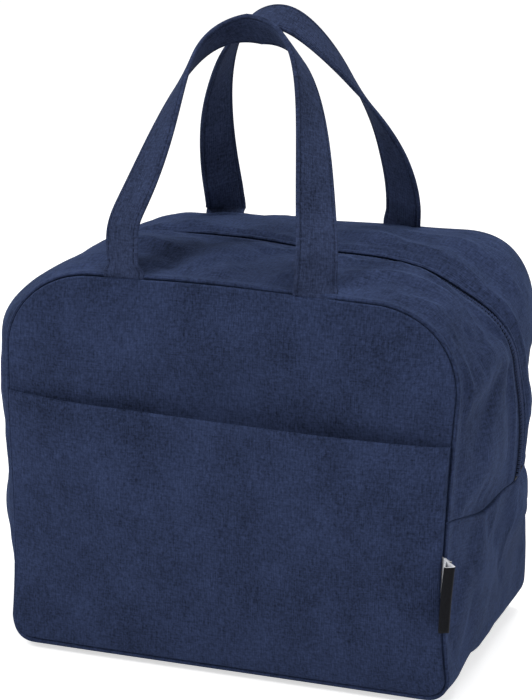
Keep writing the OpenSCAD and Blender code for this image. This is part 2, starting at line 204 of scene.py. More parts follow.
def grid_object(name, points, uvs, material, thickness=0.0, outward=away_from_middle, closed=False):
    """A sheet over a grid of points, with a thickness inwards from them."""
    faces = grid_faces(*points.shape[:2], closed)
    obj = mesh_object(name, points.reshape(-1, 3), faces, uvs.reshape(-1, 2), [material], outward)
    if thickness:
        thicken(obj, thickness)
    return obj


def sewn(obj, slot, body, *nodes):
    """A piece in place of its hidden CAD nodes: fixed to the base, or else its place baked into its mesh."""
    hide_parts(*nodes)
    if body == "base":
        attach(obj, "base")
    else:
        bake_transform(obj)


# ---- materials
def linear(*display):
    """A colour as the shader wants it, from its display values of 0 to 255."""
    return (*(c / 255 / 12.92 if c <= 10 else ((c / 255 + 0.055) / 1.055) ** 2.4 for c in display), 1)


SHEEN_TINT = linear(120, 148, 205)


class Nodes:
    """A short way to build a node tree."""

    def __init__(self, owner, output="ShaderNodeOutputMaterial"):
        owner.use_nodes = True
        self.owner = owner
        self.tree = owner.node_tree
        self.tree.nodes.clear()
        self.out = self.add(output)

    def add(self, kind, *values, **settings):
        """A node; values are linked to its first inputs or set there."""
        node = self.tree.nodes.new(kind)
        for key, value in settings.items():
            setattr(node, key, value)
        for socket, value in zip(node.inputs, values):
            self.give(socket, value)
        return node

    def give(self, socket, value):
        if isinstance(value, bpy.types.NodeSocket):
            self.tree.links.new(value, socket)
        else:
            socket.default_value = value

    def math(self, operation, a, b=0.0):
        return self.add("ShaderNodeMath", a, b, operation=operation).outputs[0]

    def cloth_uv(self):
        uv = self.add("ShaderNodeUVMap", uv_map="cloth")
        return self.add("ShaderNodeSeparateXYZ", uv.outputs[0]).outputs[:2]

    def noise(self, u, v, size_u, size_v, detail=2.0, shift=0.0):
        place = self.add("ShaderNodeCombineXYZ", self.math("MULTIPLY", u, 1 / size_u),
                         self.math("MULTIPLY", v, 1 / size_v), shift)
        node = self.add("ShaderNodeTexNoise", place.outputs[0])
        node.inputs["Scale"].default_value = 1.0
        node.inputs["Detail"].default_value = detail
        return node.outputs[0]

    def grain(self, kind, scale):
        """A texture over the piece itself, without cloth coordinates."""
        node = self.add(kind, self.add("ShaderNodeTexCoord").outputs["Object"])
        node.inputs["Scale"].default_value = scale
        return node

    def mix_colour(self, factor, *display_colours):
        ramp = self.add("ShaderNodeValToRGB", factor)
        for element, colour in zip(ramp.color_ramp.elements, display_colours):
            element.color = linear(*colour)
        return ramp.outputs[0]

    def bump(self, height, strength, distance):
        node = self.add("ShaderNodeBump")
        node.inputs["Strength"].default_value = strength
        node.inputs["Distance"].default_value = distance
        self.give(node.inputs["Height"], height)
        return node.outputs[0]

    def shader(self, **values):
        """The material, with a shader that has these values."""
        node = self.add("ShaderNodeBsdfPrincipled")
        for key, value in values.items():
            self.give(node.inputs[key.replace("_", " ")], value)
        self.give(self.out.inputs[0], node.outputs[0])
        return self.owner


def material_nodes(name):
    return Nodes(bpy.data.materials.new(name))


def cloth_material(name, dark, light, rib=0.0011, thread=0.0009, bump=0.35, rough=0.95, sheen=0.0):
    """Heathered woven cloth: uneven threads along and across, a fine rib and soft blotches."""
    n = material_nodes(name)
    u, v = n.cloth_uv()
    warp = n.noise(u, v, 0.0006, 0.008, 2.0)
    weft = n.noise(u, v, 0.007, 0.0007, 2.0, 3.1)
    speck = n.noise(u, v, 0.0013, 0.0015, 2.0, 7.7)
    blotch = n.noise(u, v, 0.030, 0.045, 3.0, 11.0)
    tone = 0.0
    for pattern, share in ((warp, 0.9), (weft, 0.7), (speck, 1.1), (blotch, 0.8)):
        tone = n.math("ADD", tone, n.math("MULTIPLY", n.math("SUBTRACT", pattern, 0.5), share))
    colour = n.mix_colour(n.math("ADD", tone, 0.5), dark, light)
    rib_turn = n.math("MULTIPLY", u, 2 * math.pi / rib)
    half_rib = n.math("MULTIPLY", u, math.pi / rib)
    thread_turn = n.math("ADD", n.math("MULTIPLY", v, 2 * math.pi / thread), half_rib)
    rib_wave, thread_wave = n.math("SINE", rib_turn), n.math("SINE", thread_turn)
    height = 0.0
    for pattern, share in ((rib_wave, 0.35), (thread_wave, 0.25), (warp, 1.2), (weft, 0.7)):
        height = n.math("ADD", height, n.math("MULTIPLY", pattern, share))
    return n.shader(Base_Color=colour, Normal=n.bump(height, bump, 0.0004), Roughness=rough,
                    Specular_IOR_Level=0.08, Sheen_Weight=sheen, Sheen_Roughness=0.4, Sheen_Tint=SHEEN_TINT)


def foam_material():
    n = material_nodes("foam")
    cells = n.grain("ShaderNodeTexVoronoi", 900).outputs["Distance"]
    colour = n.mix_colour(cells, (206, 206, 200), (236, 236, 231))
    relief = n.bump(cells, 0.4, 0.0003)
    return n.shader(Base_Color=colour, Normal=relief, Roughness=0.85, Specular_IOR_Level=0.3)


def foil_material():
    """Silvered liner with soft creases, their hollows darker and ridges lighter by painted shade."""
    n = material_nodes("foil_liner")
    u, v = n.cloth_uv()
    crease = n.noise(u, v, 0.020, 0.026, 4.0)
    fine = n.noise(u, v, 0.0025, 0.0025, 2.0, 5.0)
    # Painted shade: the colour follows the creases' relief, darker in their hollows and lighter on their
    # ridges.
    colour = n.mix_colour(crease, (176, 180, 184), (214, 217, 220))
    height = n.math("ADD", crease, n.math("MULTIPLY", fine, 0.08))
    return n.shader(Base_Color=colour, Normal=n.bump(height, 0.5, 0.003), Metallic=0.75, Roughness=0.38)


def metal_material():
    """Dark painted metal, with wear that shows on the raised places."""
    n = material_nodes("zip_metal")
    raised = n.add("ShaderNodeNewGeometry").outputs["Pointiness"]
    grain = n.grain("ShaderNodeTexNoise", 700).outputs[0]
    edge = n.math("MULTIPLY", n.math("SUBTRACT", raised, 0.5), 9.0)
    wear = n.math("MULTIPLY", n.math("ADD", edge, 0.3), grain)
    colour = n.mix_colour(wear, (24, 26, 31), (70, 72, 78))
    rough = n.math("ADD", n.math("MULTIPLY", grain, 0.2), 0.28)
    return n.shader(Base_Color=colour, Metallic=0.85, Roughness=rough)


def coil_material():
    n = material_nodes("zip_coil")
    grain = n.grain("ShaderNodeTexNoise", 1500).outputs[0]
    colour = n.mix_colour(grain, (32, 40, 64), (70, 84, 122))
    return n.shader(Base_Color=colour, Roughness=0.7, Specular_IOR_Level=0.06)


def paint_material():
    n = material_nodes("painted_metal")
    return n.shader(Base_Color=linear(20, 23, 32), Roughness=0.5, Specular_IOR_Level=0.25)


ribbon = dict(rib=0.0006, thread=0.0005, bump=0.2, sheen=0.05)
canvas = cloth_material("canvas", (22, 29, 47), (56, 68, 102), sheen=0.22)
strap_cloth = cloth_material("strap_cloth", (23, 29, 46), (60, 71, 103), rib=0.0014, bump=0.4, sheen=0.12)
tape_cloth = cloth_material("zip_tape_cloth", (18, 23, 37), (46, 56, 83), rib=0.0012, thread=0.0007)
binding_cloth = cloth_material("binding_cloth", (20, 22, 28), (48, 50, 58), rib=0.0010)
ribbon_black = cloth_material("ribbon_black", (8, 9, 12), (22, 23, 28), rough=0.6, **ribbon)
ribbon_white = cloth_material("ribbon_white", (196, 198, 204), (244, 245, 248), rough=0.7, **ribbon)
painted_metal = paint_material()
stitch_thread = cloth_material("stitch_thread", (24, 30, 48), (56, 66, 94), rib=0.0003, thread=0.0004)
foam_cells = foam_material()
foil = foil_material()
dark_metal = metal_material()
coil = coil_material()


# ---- the bag's outline
def swell(y):
    """Share of a gusset's bulge at a place across it."""
    return np.minimum(1.0, 1.1 * (1 - (np.minimum(1.0, np.abs(y) / HALF_D)) ** 3.2))


def upper_swell(z):
    return TOP_BULGE + (SIDE_BULGE - TOP_BULGE) * smooth((PANEL_Z1 - z) / TOP_R)


def lower_swell(x, z):
    under = BASE_BULGE * smooth((HALF_W - np.abs(x)) / 0.060)
    return under + FLOOR_GAP + SIDE_BULGE * smooth((z - PANEL_Z0 - 0.004) / 0.070)


def half_path(upper, step):
    """From the fold at the right up or down to the middle, as x, z, outward x and outward z."""
    radius = TOP_R if upper else BOTTOM_R
    corner_z = PANEL_Z1 - TOP_R if upper else PANEL_Z0 + BOTTOM_R
    sign = 1 if upper else -1
    side = np.linspace(SEAM_Z, corner_z, int(abs(corner_z - SEAM_Z) / step) + 1)
    angles = np.linspace(0, math.pi / 2, max(10, int(radius * math.pi / 2 / step)) + 1)[1:]
    flat = np.linspace(HALF_W - radius, 0, int((HALF_W - radius) / step) + 1)[1:]
    x = np.concatenate([np.full(len(side), HALF_W), HALF_W - radius + radius * np.cos(angles), flat])
    z = np.concatenate([side, corner_z + sign * radius * np.sin(angles),
                        np.full(len(flat), PANEL_Z1 if upper else PANEL_Z0)])
    nx = np.concatenate([np.ones(len(side)), np.cos(angles), np.zeros(len(flat))])
    nz = np.concatenate([np.zeros(len(side)), sign * np.sin(angles), np.full(len(flat), float(sign))])
    return np.stack([x, z, nx, nz], -1)


def outline(upper, step=0.002):
    """A gusset's middle line from the right fold to the left one, its length so far, and its swell."""
    half = half_path(upper, step)
    other = half[:-1][::-1] * np.array([-1, 1, -1, 1])
    path = np.concatenate([half, other])
    lengths = run_along(path[:, :2])
    amount = upper_swell(path[:, 1]) if upper else lower_swell(path[:, 0], path[:, 1])
    return path, lengths, amount


def edge_distance(x, z):
    """Distance of a place on a panel from the panel's edge."""
    ax = np.abs(x)

    def corner(radius, dz):
        qx = ax - (HALF_W - radius)
        qz = radius - dz
        near = radius - np.hypot(np.maximum(qx, 0), np.maximum(qz, 0))
        return np.where((qx > 0) & (qz > 0), near, np.minimum(HALF_W - ax, dz))

    return np.minimum(corner(TOP_R, PANEL_Z1 - z), corner(BOTTOM_R, z - PANEL_Z0))


SEAM_R = 0.0011
SEAM_GAP = 0.0006
SEAM_A = SEAM_R * (1 + math.sqrt(2)) + SEAM_GAP * math.sqrt(2)
FACE_EDGE = HALF_D - SEAM_A
SEAM_TURN = math.radians(135)
SEAM_DEEP = 0.0034
FOOT_FORWARD = 0.0018
FOOT_UP = 0.0009
FOLD_R = 0.0014
RIGHT_SLACK = 0.0079
LEFT_PUFF = 0.0058
TOP_SLACK = 0.0023
FRONT_LEAN = 0.0039
BACK_LEAN = 0.0059
TOP_SAG = 0.0035
LEFT_DROP = 0.0050
RIGHT_LIFT = 0.0030
# How an almost empty bag has shifted: smooth curves, from the floor to the top or from left to right.
RIGHT_FRONT = (0.0030, -0.0057, -0.0022, -0.0017, 0.0022, 0.0070)
RIGHT_BACK = (-0.0015, 0.0048, -0.0074, -0.0094, -0.0089, 0.0074)
LEFT_FRONT = (0.0011, 0.0042, 0.0033, -0.0051, -0.0028, -0.0012)
TOP_FRONT = (-0.0005, -0.0058, 0.0070, 0.0025, -0.0003, 0.0041)
TOP_BACK = (-0.0082, 0.0001, 0.0022, 0.0025, 0.0034, -0.0022)
FOOT_FRONT = (-0.0074, -0.0035, 0.0027, 0.0065)
# On the slack right side the zip has moved back on a soft ridge, over a hollow, and the fold hangs down.
ZIP_BACK = 0.038
ZIP_RIDGE = 0.0058
BACK_HOLLOW = 0.0078
FOLD_HANG = 0.011
CORNER_SAG = 0.011
CORNER_IN = 0.001
TOP_ZIP_BACK = 0.020


def seam_roll(count=9):
    """The roll of a cloth into a seam: how far past its flat face's edge, and how far back from the face."""
    turn = np.linspace(0, SEAM_TURN, count)[1:]
    out = SEAM_R * np.sin(turn)
    back = SEAM_R * (1 - np.cos(turn))
    deep = np.array([0.4, 1.0]) * SEAM_DEEP * math.sqrt(0.5)
    shut = np.array([0.0, 1.3]) * SEAM_GAP * math.sqrt(0.5)
    return np.concatenate([out, out[-1] - deep + shut]), np.concatenate([back, back[-1] + deep + shut])


def bend(values, along):
    """A Bezier curve through the first and last value."""
    last = len(values) - 1
    return sum(math.comb(last, k) * along**k * (1 - along) ** (last - k) * value
               for k, value in enumerate(values))


def settle(points):
    """The slack of an empty bag: it leans back a little, and its top dips and fills out unevenly."""
    moved = np.array(points, dtype=float)
    x, y, z = moved[..., 0].copy(), moved[..., 1].copy(), moved[..., 2].copy()
    u = np.clip(y / HALF_D, -1, 1)
    t = np.clip((z - PANEL_Z0) / (PANEL_Z1 - PANEL_Z0), 0, 1)
    front, back = (1 - u) / 2, (1 + u) / 2
    right, left = smooth((x / HALF_W - 0.2) / 0.8), smooth((-x / HALF_W - 0.2) / 0.8)
    across = np.clip((x / HALF_W + 1) / 2, 0, 1)

    lean = np.where(u < 0, -u * FRONT_LEAN, u * BACK_LEAN)
    moved[..., 1] += lean * t**1.5
    sag = TOP_SAG * bell(x, -0.02, 0.06) * smooth((u + 1) / 0.8)
    drop = LEFT_DROP * smooth((-x - 0.05) / 0.06) * smooth((u + 1) / 0.9)
    lift = RIGHT_LIFT * smooth((x - 0.06) / 0.05) * smooth((u - 0.2) / 0.5)
    moved[..., 2] += (lift - sag - drop) * t**4

    slack = smooth(x / HALF_W * 1.6 - 0.6)
    ridge = slack * bell(t, 0.56, 0.24)
    moved[..., 1] += ZIP_BACK * ridge * (1 - u**2)
    moved[..., 1] += TOP_ZIP_BACK * smooth((0.045 - x) / 0.08) * smooth((t - 0.82) / 0.17) * (1 - u**2)
    moved[..., 0] += ridge * ZIP_RIDGE * bell(u, 0.17, 0.26)
    moved[..., 0] -= BACK_HOLLOW * slack * bell(t, 0.53, 0.13) * bell(u, 0.55, 0.28)
    corner = bell(x, 0.115, 0.034) * bell(u, -0.05, 0.55) * t**4
    moved[..., 2] -= CORNER_SAG * corner
    moved[..., 0] -= CORNER_IN * corner
    hang = smooth((u + 1) / 0.45) * smooth((0.22 - u) / 0.30) * bell(z, SEAM_Z, 0.035)
    moved[..., 2] -= FOLD_HANG * slack * hang

    moved[..., 0] += lift * t**4 + right * (front * bend(RIGHT_FRONT, t) + back * bend(RIGHT_BACK, t))
    moved[..., 0] += left * smooth(-u / 0.7) * bend(LEFT_FRONT, t)
    moved[..., 1] += (1 - t) ** 4 * front * bend(FOOT_FRONT, across)
    moved[..., 2] += t**4 * (front * bend(TOP_FRONT, across) + back * bend(TOP_BACK, across))
    moved[..., 2] = np.maximum(moved[..., 2], FLOOR_GAP)
    return moved


# ---- cloth simulation
SIM_FRAMES = 20
SIM_CLOTH = dict(quality=6, mass=0.10, tension_stiffness=25, compression_stiffness=25, shear_stiffness=12,
                 bending_stiffness=0.5, vertex_group_mass="held", use_pressure=True)
SIM_CAP = 0.0035
SIM_IN = 0.0008
SIM_ROUGH = 0.00015
SWELL_CELLS = 5.0
SWELL_KEPT = 0.15


def relaxed(name, points, slack, pressure, seed, gain=1.0):
    """Creases of a coarse sheet of cloth that is a little too long for its place and is held at its edge."""
    rows, columns = points.shape[:2]
    flat = points.reshape(-1, 3)
    faces = grid_faces(rows, columns)
    sheet = mesh_object(name, flat, faces, flat[:, :2], [], lambda c: (c.x, c.y, c.z - 0.12))
    normals = np.zeros(flat.size)
    sheet.data.vertex_normals.foreach_get("vector", normals)
    normals = normals.reshape(-1, 3)
    index = np.arange(rows * columns).reshape(rows, columns)
    edge = np.concatenate([index[0], index[-1], index[:, 0], index[:, -1]])
    rng = np.random.default_rng(seed)
    start = flat + normals * rng.normal(0, SIM_ROUGH, len(flat))[:, None]
    start[edge] = flat[edge]
    sheet.data.vertices.foreach_set("co", start.ravel())
    sheet.data.update()
    held = sheet.vertex_groups.new(name="held")
    held.add([int(i) for i in edge], 1.0, "REPLACE")
    cloth = sheet.modifiers.new("cloth", "CLOTH")
    for setting, value in SIM_CLOTH.items():
        setattr(cloth.settings, setting, value)
    cloth.settings.shrink_min = -slack
    cloth.settings.uniform_pressure_force = pressure
    cloth.settings.effector_weights.gravity = 0
    cloth.collision_settings.use_collision = False
    cloth.point_cache.frame_end = SIM_FRAMES
    for number in range(1, SIM_FRAMES + 1):
        bpy.context.scene.frame_set(number)
    solved = sheet.evaluated_get(bpy.context.evaluated_depsgraph_get())
    end = np.zeros(flat.size)
    solved.data.vertices.foreach_get("co", end)
    moved = np.sum((end.reshape(-1, 3) - flat) * normals, axis=1).reshape(rows, columns)
    bpy.context.scene.frame_set(1)
    bpy.data.objects.remove(sheet)
    swelling = swell_weights(rows) @ moved @ swell_weights(columns).T
    creases = gain * (moved - swelling) + SWELL_KEPT * moved
    capped = np.where(creases > 0, SIM_CAP * np.tanh(creases / SIM_CAP), SIM_IN * np.tanh(creases / SIM_IN))
    capped[[0, -1]] = 0
    capped[:, [0, -1]] = 0
    return capped


def spread_weights(fine, coarse, cells=0.8):
    """Smooth weights that carry values from coarse places to fine ones, over about so many coarse cells."""
    step = np.abs(np.diff(coarse)).mean()
    weights = np.exp(-(((fine[:, None] - coarse[None, :]) / (cells * step)) ** 2))
    return weights / weights.sum(axis=1)[:, None]


def swell_weights(count):
    cells = np.arange(float(count))
    return spread_weights(cells, cells, SWELL_CELLS)


def carried(values, fine_rows, coarse_rows, fine_columns, coarse_columns):
    return spread_weights(fine_rows, coarse_rows) @ values @ spread_weights(fine_columns, coarse_columns).T


# ---- cover
PILLOW = 0.003
MOUTH_DIP = 0.0078


def half_width(z, inset):
    """Half a panel's width at a height, moved in from its edge."""
    top = np.maximum(0, z - PANEL_Z1 + TOP_R)
    low = np.maximum(0, PANEL_Z0 + BOTTOM_R - z)
    top_cut = TOP_R - np.sqrt(np.maximum(0, (TOP_R - inset) ** 2 - top**2)) - inset
    low_cut = BOTTOM_R - np.sqrt(np.maximum(0, (BOTTOM_R - inset) ** 2 - low**2)) - inset
    return HALF_W - inset - np.where(top > 0, top_cut, 0) - np.where(low > 0, low_cut, 0)


def over_panel(z, t, inset):
    """Places over a panel at heights z and at shares t of its half width: x, z and distance from its edge."""
    x = half_width(z, inset)[:, None] * t
    zz = np.broadcast_to(z[:, None], x.shape)
    return x, zz, edge_distance(x, zz)


def panel_grid(inset, columns=121):
    """Places over a whole panel, moved in from its edge, with more rows round its corners."""
    bottom_z, top_z = PANEL_Z0 + BOTTOM_R, PANEL_Z1 - TOP_R
    low = bottom_z - (BOTTOM_R - inset) * np.sin(np.linspace(math.pi / 2, 0, 16)[:-1])
    high = top_z + (TOP_R - inset) * np.sin(np.linspace(0, math.pi / 2, 40)[1:])
    return over_panel(np.concatenate([low, np.linspace(bottom_z, top_z, 66), high]), graded(columns), inset)


def panel_height(x, z, distance, seed):
    """How far a panel's face stands out from the seams' plane."""
    inner = np.maximum(0, distance - SEAM_A)
    pillow = PILLOW * (1 - np.exp(-inner / 0.030))
    rise = (z - POCKET_Z1) / (PANEL_Z1 - POCKET_Z1)
    crown = 0.0022 * bell(rise, 0.55, 0.40) * smooth(inner / 0.040)
    return pillow + crown + 0.0008 * ripples(x, z, 0.16, 0.05, seed) * smooth(inner / 0.030)


def edge_chain(rows, columns, with_top):
    """Indices round a grid's edge, from its top left corner down and round, with or without its top."""
    index = np.arange(rows * columns).reshape(rows, columns)
    sides = [index[::-1, 0], index[0, 1:], index[1:, -1]]
    return np.concatenate(sides + [index[-1, -2:0:-1]] if with_top else sides)


def outward_at(x, z):
    """Outward direction in the panel's plane at places on its edge."""
    low = z < PANEL_Z0 + BOTTOM_R
    dx = np.sign(x) * np.maximum(0, np.abs(x) - HALF_W + np.where(low, BOTTOM_R, TOP_R))
    dz = np.where(low, z - PANEL_Z0 - BOTTOM_R, np.maximum(0, z - (PANEL_Z1 - TOP_R)))
    size = np.hypot(dx, dz)
    return dx / size, dz / size


def foot(z):
    """How much of the bag's foot a height belongs to: the base's roll stands out under the panels there."""
    return smooth(1 - (z - PANEL_Z0) / 0.012)


def rolled_sheet(name, x, z, out, side, material, with_top=True):
    """A panel's cloth, with its edges rolled back into the seams."""
    rows, columns = x.shape
    chain = edge_chain(rows, columns, with_top)
    cx, cz, co = x.ravel()[chain], z.ravel()[chain], out.ravel()[chain]
    nx, nz = outward_at(cx, cz)
    points = [np.stack([x, out, z], -1).reshape(-1, 3)]
    uvs = [np.stack([x, z], -1).reshape(-1, 2)]
    faces = [grid_faces(rows, columns)]
    rolled_out, rolled_back = seam_roll()
    lengths = run_along(np.stack([np.append(0, rolled_out), np.append(0, rolled_back)], -1))[1:]
    previous = chain
    ends = 1 if with_top else 0
    for step_out, step_back, run in zip(rolled_out, rolled_back, lengths):
        current = np.arange(len(chain)) + sum(len(p) for p in points)
        points.append(np.stack([cx + nx * step_out, co - step_back, cz + nz * step_out], -1))
        uvs.append(np.stack([cx + nx * run, cz + nz * run], -1))
        before, after = (np.append(line, line[:ends]) for line in (previous, current))
        faces.append(np.stack([before[:-1], before[1:], after[1:], after[:-1]], -1))
        previous = current
    points = np.concatenate(points)
    points[:, 2] += FOOT_UP * foot(points[:, 2])
    points[:, 1] *= side
    return mesh_object(name, settle(points), np.concatenate(faces), np.concatenate(uvs), [material],
                       lambda c: (0, side * (abs(c.y) > HALF_D - 0.001), 0))


def mouth_dip(x, z):
    """Share of the dip behind the pocket's mouth, deepest a little right of the middle."""
    above = np.where(z > POCKET_Z1, bell(z, POCKET_Z1, 0.054), 1.0)
    across = np.clip(1 - np.abs(x / HALF_W) ** 4, 0, 1) * (0.45 + 0.55 * smooth((x + 0.09) / 0.13))
    return above * (0.20 + 0.80 * across)


def panel_face(side, x, z, distance):
    """How far a panel's face lies from the bag's middle."""
    if side < 0:
        return HALF_D + panel_height(x, z, distance, 11) - MOUTH_DIP * mouth_dip(x, z)
    return HALF_D + panel_height(x, z, distance, 12)


def panel_slack(side, z, t):
    """Creases of a panel's cloth from the simulation, at heights z and at shares t of its half width."""
    coarse_z = np.linspace(PANEL_Z0 + SEAM_A, PANEL_Z1 - SEAM_A, 50)
    coarse_t = np.linspace(-1, 1, 57)
    x, zz, distance = over_panel(coarse_z, coarse_t, SEAM_A)
    points = settle(np.stack([x, side * panel_face(side, x, zz, distance), zz], -1))
    moved = relaxed("slack_panel", points, 0.004, 0.5, 43 if side < 0 else 44)
    clear = smooth((z - POCKET_Z1) / 0.030)[:, None] if side < 0 else 1.0
    return carried(moved, z, coarse_z, t, coarse_t) * clear


def make_panel(side, body):
    x, z, distance = panel_grid(SEAM_A)
    out = panel_face(side, x, z, distance) + panel_slack(side, z[:, 0], graded(x.shape[1]))
    obj = rolled_sheet(f"{body}_panel_cloth", x, z, out, side, canvas)
    thicken(obj, CANVAS_T)
    sewn(obj, "canvas", body, f"{body}_panel_lower", f"{body}_panel_upper")


def sideness(path, upper):
    """From 0 over the top and bottom to 1 up the sides."""
    z = path[:, 1]
    return smooth((PANEL_Z1 - z) / TOP_R) if upper else smooth((z - PANEL_Z0) / 0.060)


def gusset_rise(path, amount, y, upper):
    """How far a gusset's cover stands out: it fills out on the left and is slack on the right."""
    share = sideness(path, upper)[:, None]
    right = (path[:, 0:1] > 0) * share
    left = (path[:, 0:1] < 0) * share
    y = np.atleast_2d(y)
    level = swell(y * HALF_D / FACE_EDGE) * smooth((FACE_EDGE - np.abs(y)) / 0.008)
    puff = smooth((np.abs(y) - SLOT_HALF) / 0.025) * level
    slack = RIGHT_SLACK * right + (TOP_SLACK * (1 - share) if upper else 0)
    return (amount[:, None] - slack) * level + LEFT_PUFF * left * puff


def gusset_points(path, amount, y, upper, extra=0.0):
    """Points of a gusset's face; extra is how far each lies outside the cover's outer face."""
    rise = gusset_rise(path, amount, y, upper) + extra
    x = path[:, 0:1] + path[:, 2:3] * rise
    z = path[:, 1:2] + path[:, 3:4] * rise
    return settle(np.stack([x, np.broadcast_to(y, x.shape), z], -1))


def seam_across(inner, count):
    """Places across a gusset from its seam to inner, with their drop into the seam and their length."""
    out, back = seam_roll()
    rolled = FACE_EDGE + out[::-1]
    face = (FACE_EDGE + inner) / 2 - (FACE_EDGE - inner) / 2 * graded(count)
    across = np.concatenate([rolled, face])
    drop = np.concatenate([back[::-1], np.zeros(count)])
    if inner < 0:
        across = np.concatenate([across, -rolled[::-1]])
        drop = np.concatenate([drop, back])
    return across, drop, run_along(np.stack([across, drop], -1))


def rows_along(path, lengths, amount, step=0.002):
    """Rows of a gusset from fold to fold, with their drop into the seam at the fold."""
    total = lengths[-1]
    turn = np.linspace(math.pi / 2, 0, 7)
    near = FOLD_R * (1 - np.sin(turn))
    near_drop = FOLD_R * (1 - np.cos(turn))
    face = np.linspace(FOLD_R, total - FOLD_R, int(total / step))[1:-1]
    s = np.concatenate([[0], near, face, total - near[::-1], [total]])
    deep = [FOLD_R + SEAM_DEEP]
    drop = np.concatenate([deep, near_drop, np.zeros(len(face)), near_drop[::-1], deep])
    return sampled(s, lengths, path), s, np.interp(s, lengths, amount), drop


# Soft ridges of the slack cover beside the zip, from one place to another: how far along the zip gusset from
# its right or left fold, and how far from its middle. A height below 0 is a furrow.
RIGHT_FOLDS = (
    dict(start=(0.225, 0.034), end=(0.110, 0.014), width=0.0050, height=0.0026),
    dict(start=(0.200, 0.022), end=(0.120, 0.010), width=0.0030, height=0.0012),
    dict(start=(0.135, 0.016), end=(0.015, 0.010), width=0.0035, height=0.0018),
    dict(start=(0.190, 0.052), end=(0.085, 0.034), width=0.0055, height=0.0018),
    dict(start=(0.205, 0.043), end=(0.110, 0.024), width=0.0045, height=-0.0012),
)
LEFT_FOLDS = (
    dict(start=(0.085, 0.009), end=(0.185, 0.017), width=0.0050, height=0.0026),
    dict(start=(0.100, 0.030), end=(0.200, 0.048), width=0.0060, height=0.0018),
    dict(start=(0.150, 0.050), end=(0.205, 0.062), width=0.0090, height=-0.0030),
)


def fold(s, across, start, end, width, height):
    """A soft ridge between two places of a gusset, tapering at both ends."""
    way = np.array(end) - np.array(start)
    length = math.hypot(*way)
    way = way / length
    along = (s - start[0]) * way[0] + (across - start[1]) * way[1]
    beside = (across - start[1]) * way[0] - (s - start[0]) * way[1]
    taper = smooth(along / (0.3 * length)) * smooth((length - along) / (0.3 * length))
    return height * taper * np.exp(-np.abs(beside / width) ** 1.6)


def zip_folds(s, across, side):
    """Folds of the slack cover beside the zip: round the right corner, and at the top's left end."""
    from_right, from_left = s[:, None], s[-1] - s[:, None]
    folds = sum(fold(from_right, across, **shape) for shape in RIGHT_FOLDS)
    folds = folds + sum(fold(from_left, across, **shape) for shape in LEFT_FOLDS)
    return folds * (1.3 if side < 0 else 0.8)


def gusset_wrinkles(s, y, seed):
    y = np.atleast_2d(y)
    inside = smooth((FACE_EDGE - np.abs(y)) / 0.030) * smooth((np.abs(y) - 0.008) / 0.015)
    return 0.0008 * ripples(s[:, None], y, 0.055, 0.10, seed) * inside


RIDGE = 0.0021
RIDGE_FROM = 0.0012
RIDGE_RISE = 0.0065
EDGE_DROP = 0.0007
EDGE_W = 0.0009
HEM_STITCH_AT = 0.0022
HEM_STITCH_W = 0.0008
HEM_STITCH_DEEP = 0.0003
MOUTH_CLEAR = 0.014
MOUTH_RAMP = 0.008
MOUTH_FRONT = 0.0036
MOUTH_BACK = 0.0042
slider_lo, slider_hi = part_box("slider_body")
SLIDER_Z = slider_lo.z
SLIDER_L = slider_hi.z - slider_lo.z
SLIDER_RUN = 0.054


def zip_hem(across, from_mouth, share):
    """The cloth stands over the foam's edge and drops to a stitched fold at the zip, least at the sides."""
    ridge = RIDGE * smooth((from_mouth - RIDGE_FROM) / RIDGE_RISE) * smooth((HALF_D - across) / 0.060)
    ridge = ridge * (1 - 0.9 * share)
    edge = EDGE_DROP * smooth(1 - from_mouth / EDGE_W)
    return ridge - edge - HEM_STITCH_DEEP * bell(from_mouth, HEM_STITCH_AT, HEM_STITCH_W)


def mouth_half(path, side):
    """Half the gap between the cloth's edges at the zip, wider where the slider runs."""
    plain = MOUTH_FRONT if side < 0 else MOUTH_BACK
    above = smooth((path[:, 1] - SLIDER_Z + MOUTH_CLEAR) / MOUTH_RAMP)
    below = smooth((SLIDER_Z + SLIDER_L + SLIDER_RUN + MOUTH_CLEAR - path[:, 1]) / MOUTH_RAMP)
    return plain + (SLOT_HALF - plain) * above * below * (path[:, 0] < 0)


def gusset_slack(side, s, across):
    """Creases of the zip gusset's cloth from the simulation, at places along and across it."""
    path, lengths, amount = outline(True, 0.0045)
    places = np.linspace(FACE_EDGE - 0.001, 0.010, 19)
    folds = zip_folds(lengths, np.broadcast_to(places, (len(lengths), len(places))), side)
    points = gusset_points(path, amount, side * places, True, folds)
    moved = relaxed("slack_gusset", points, 0.045, 1.0, 41 if side < 0 else 42, 1.5 if side < 0 else 0.5)
    moved = moved * (1 - 0.7 * smooth((-path[:, 0:1] - HALF_W + 0.030) / 0.025))
    moved = np.concatenate([moved, np.zeros((len(lengths), 2))], axis=1)
    places = np.append(places, [0.006, 0.002])
    rows = spread_weights(s, lengths) @ moved
    return np.stack([np.interp(-across[i], -places, rows[i]) for i in range(len(s))])


def make_zip_gusset(side, body):
    path, s, amount, drop = rows_along(*outline(True))
    across, seam_drop, length = seam_across(SLOT_HALF, 80)
    mouth = mouth_half(path, side)[:, None]
    share = np.clip((FACE_EDGE - across) / (FACE_EDGE - SLOT_HALF), 0, 1)
    across = across + share * (mouth - SLOT_HALF)
    y = side * across
    extra = zip_hem(across, across - mouth, sideness(path, True)[:, None]) - seam_drop - drop[:, None]
    extra = extra + zip_folds(s, across, side) + gusset_wrinkles(s, y, 21 if side < 0 else 22)
    extra = extra + gusset_slack(side, s, across)
    points = gusset_points(path, amount, y, True, extra)
    obj = grid_object(f"zip_gusset_{body}_cloth", points, weave(length, s), canvas, CANVAS_T)
    sewn(obj, "canvas", body, f"zip_gusset_{body}")


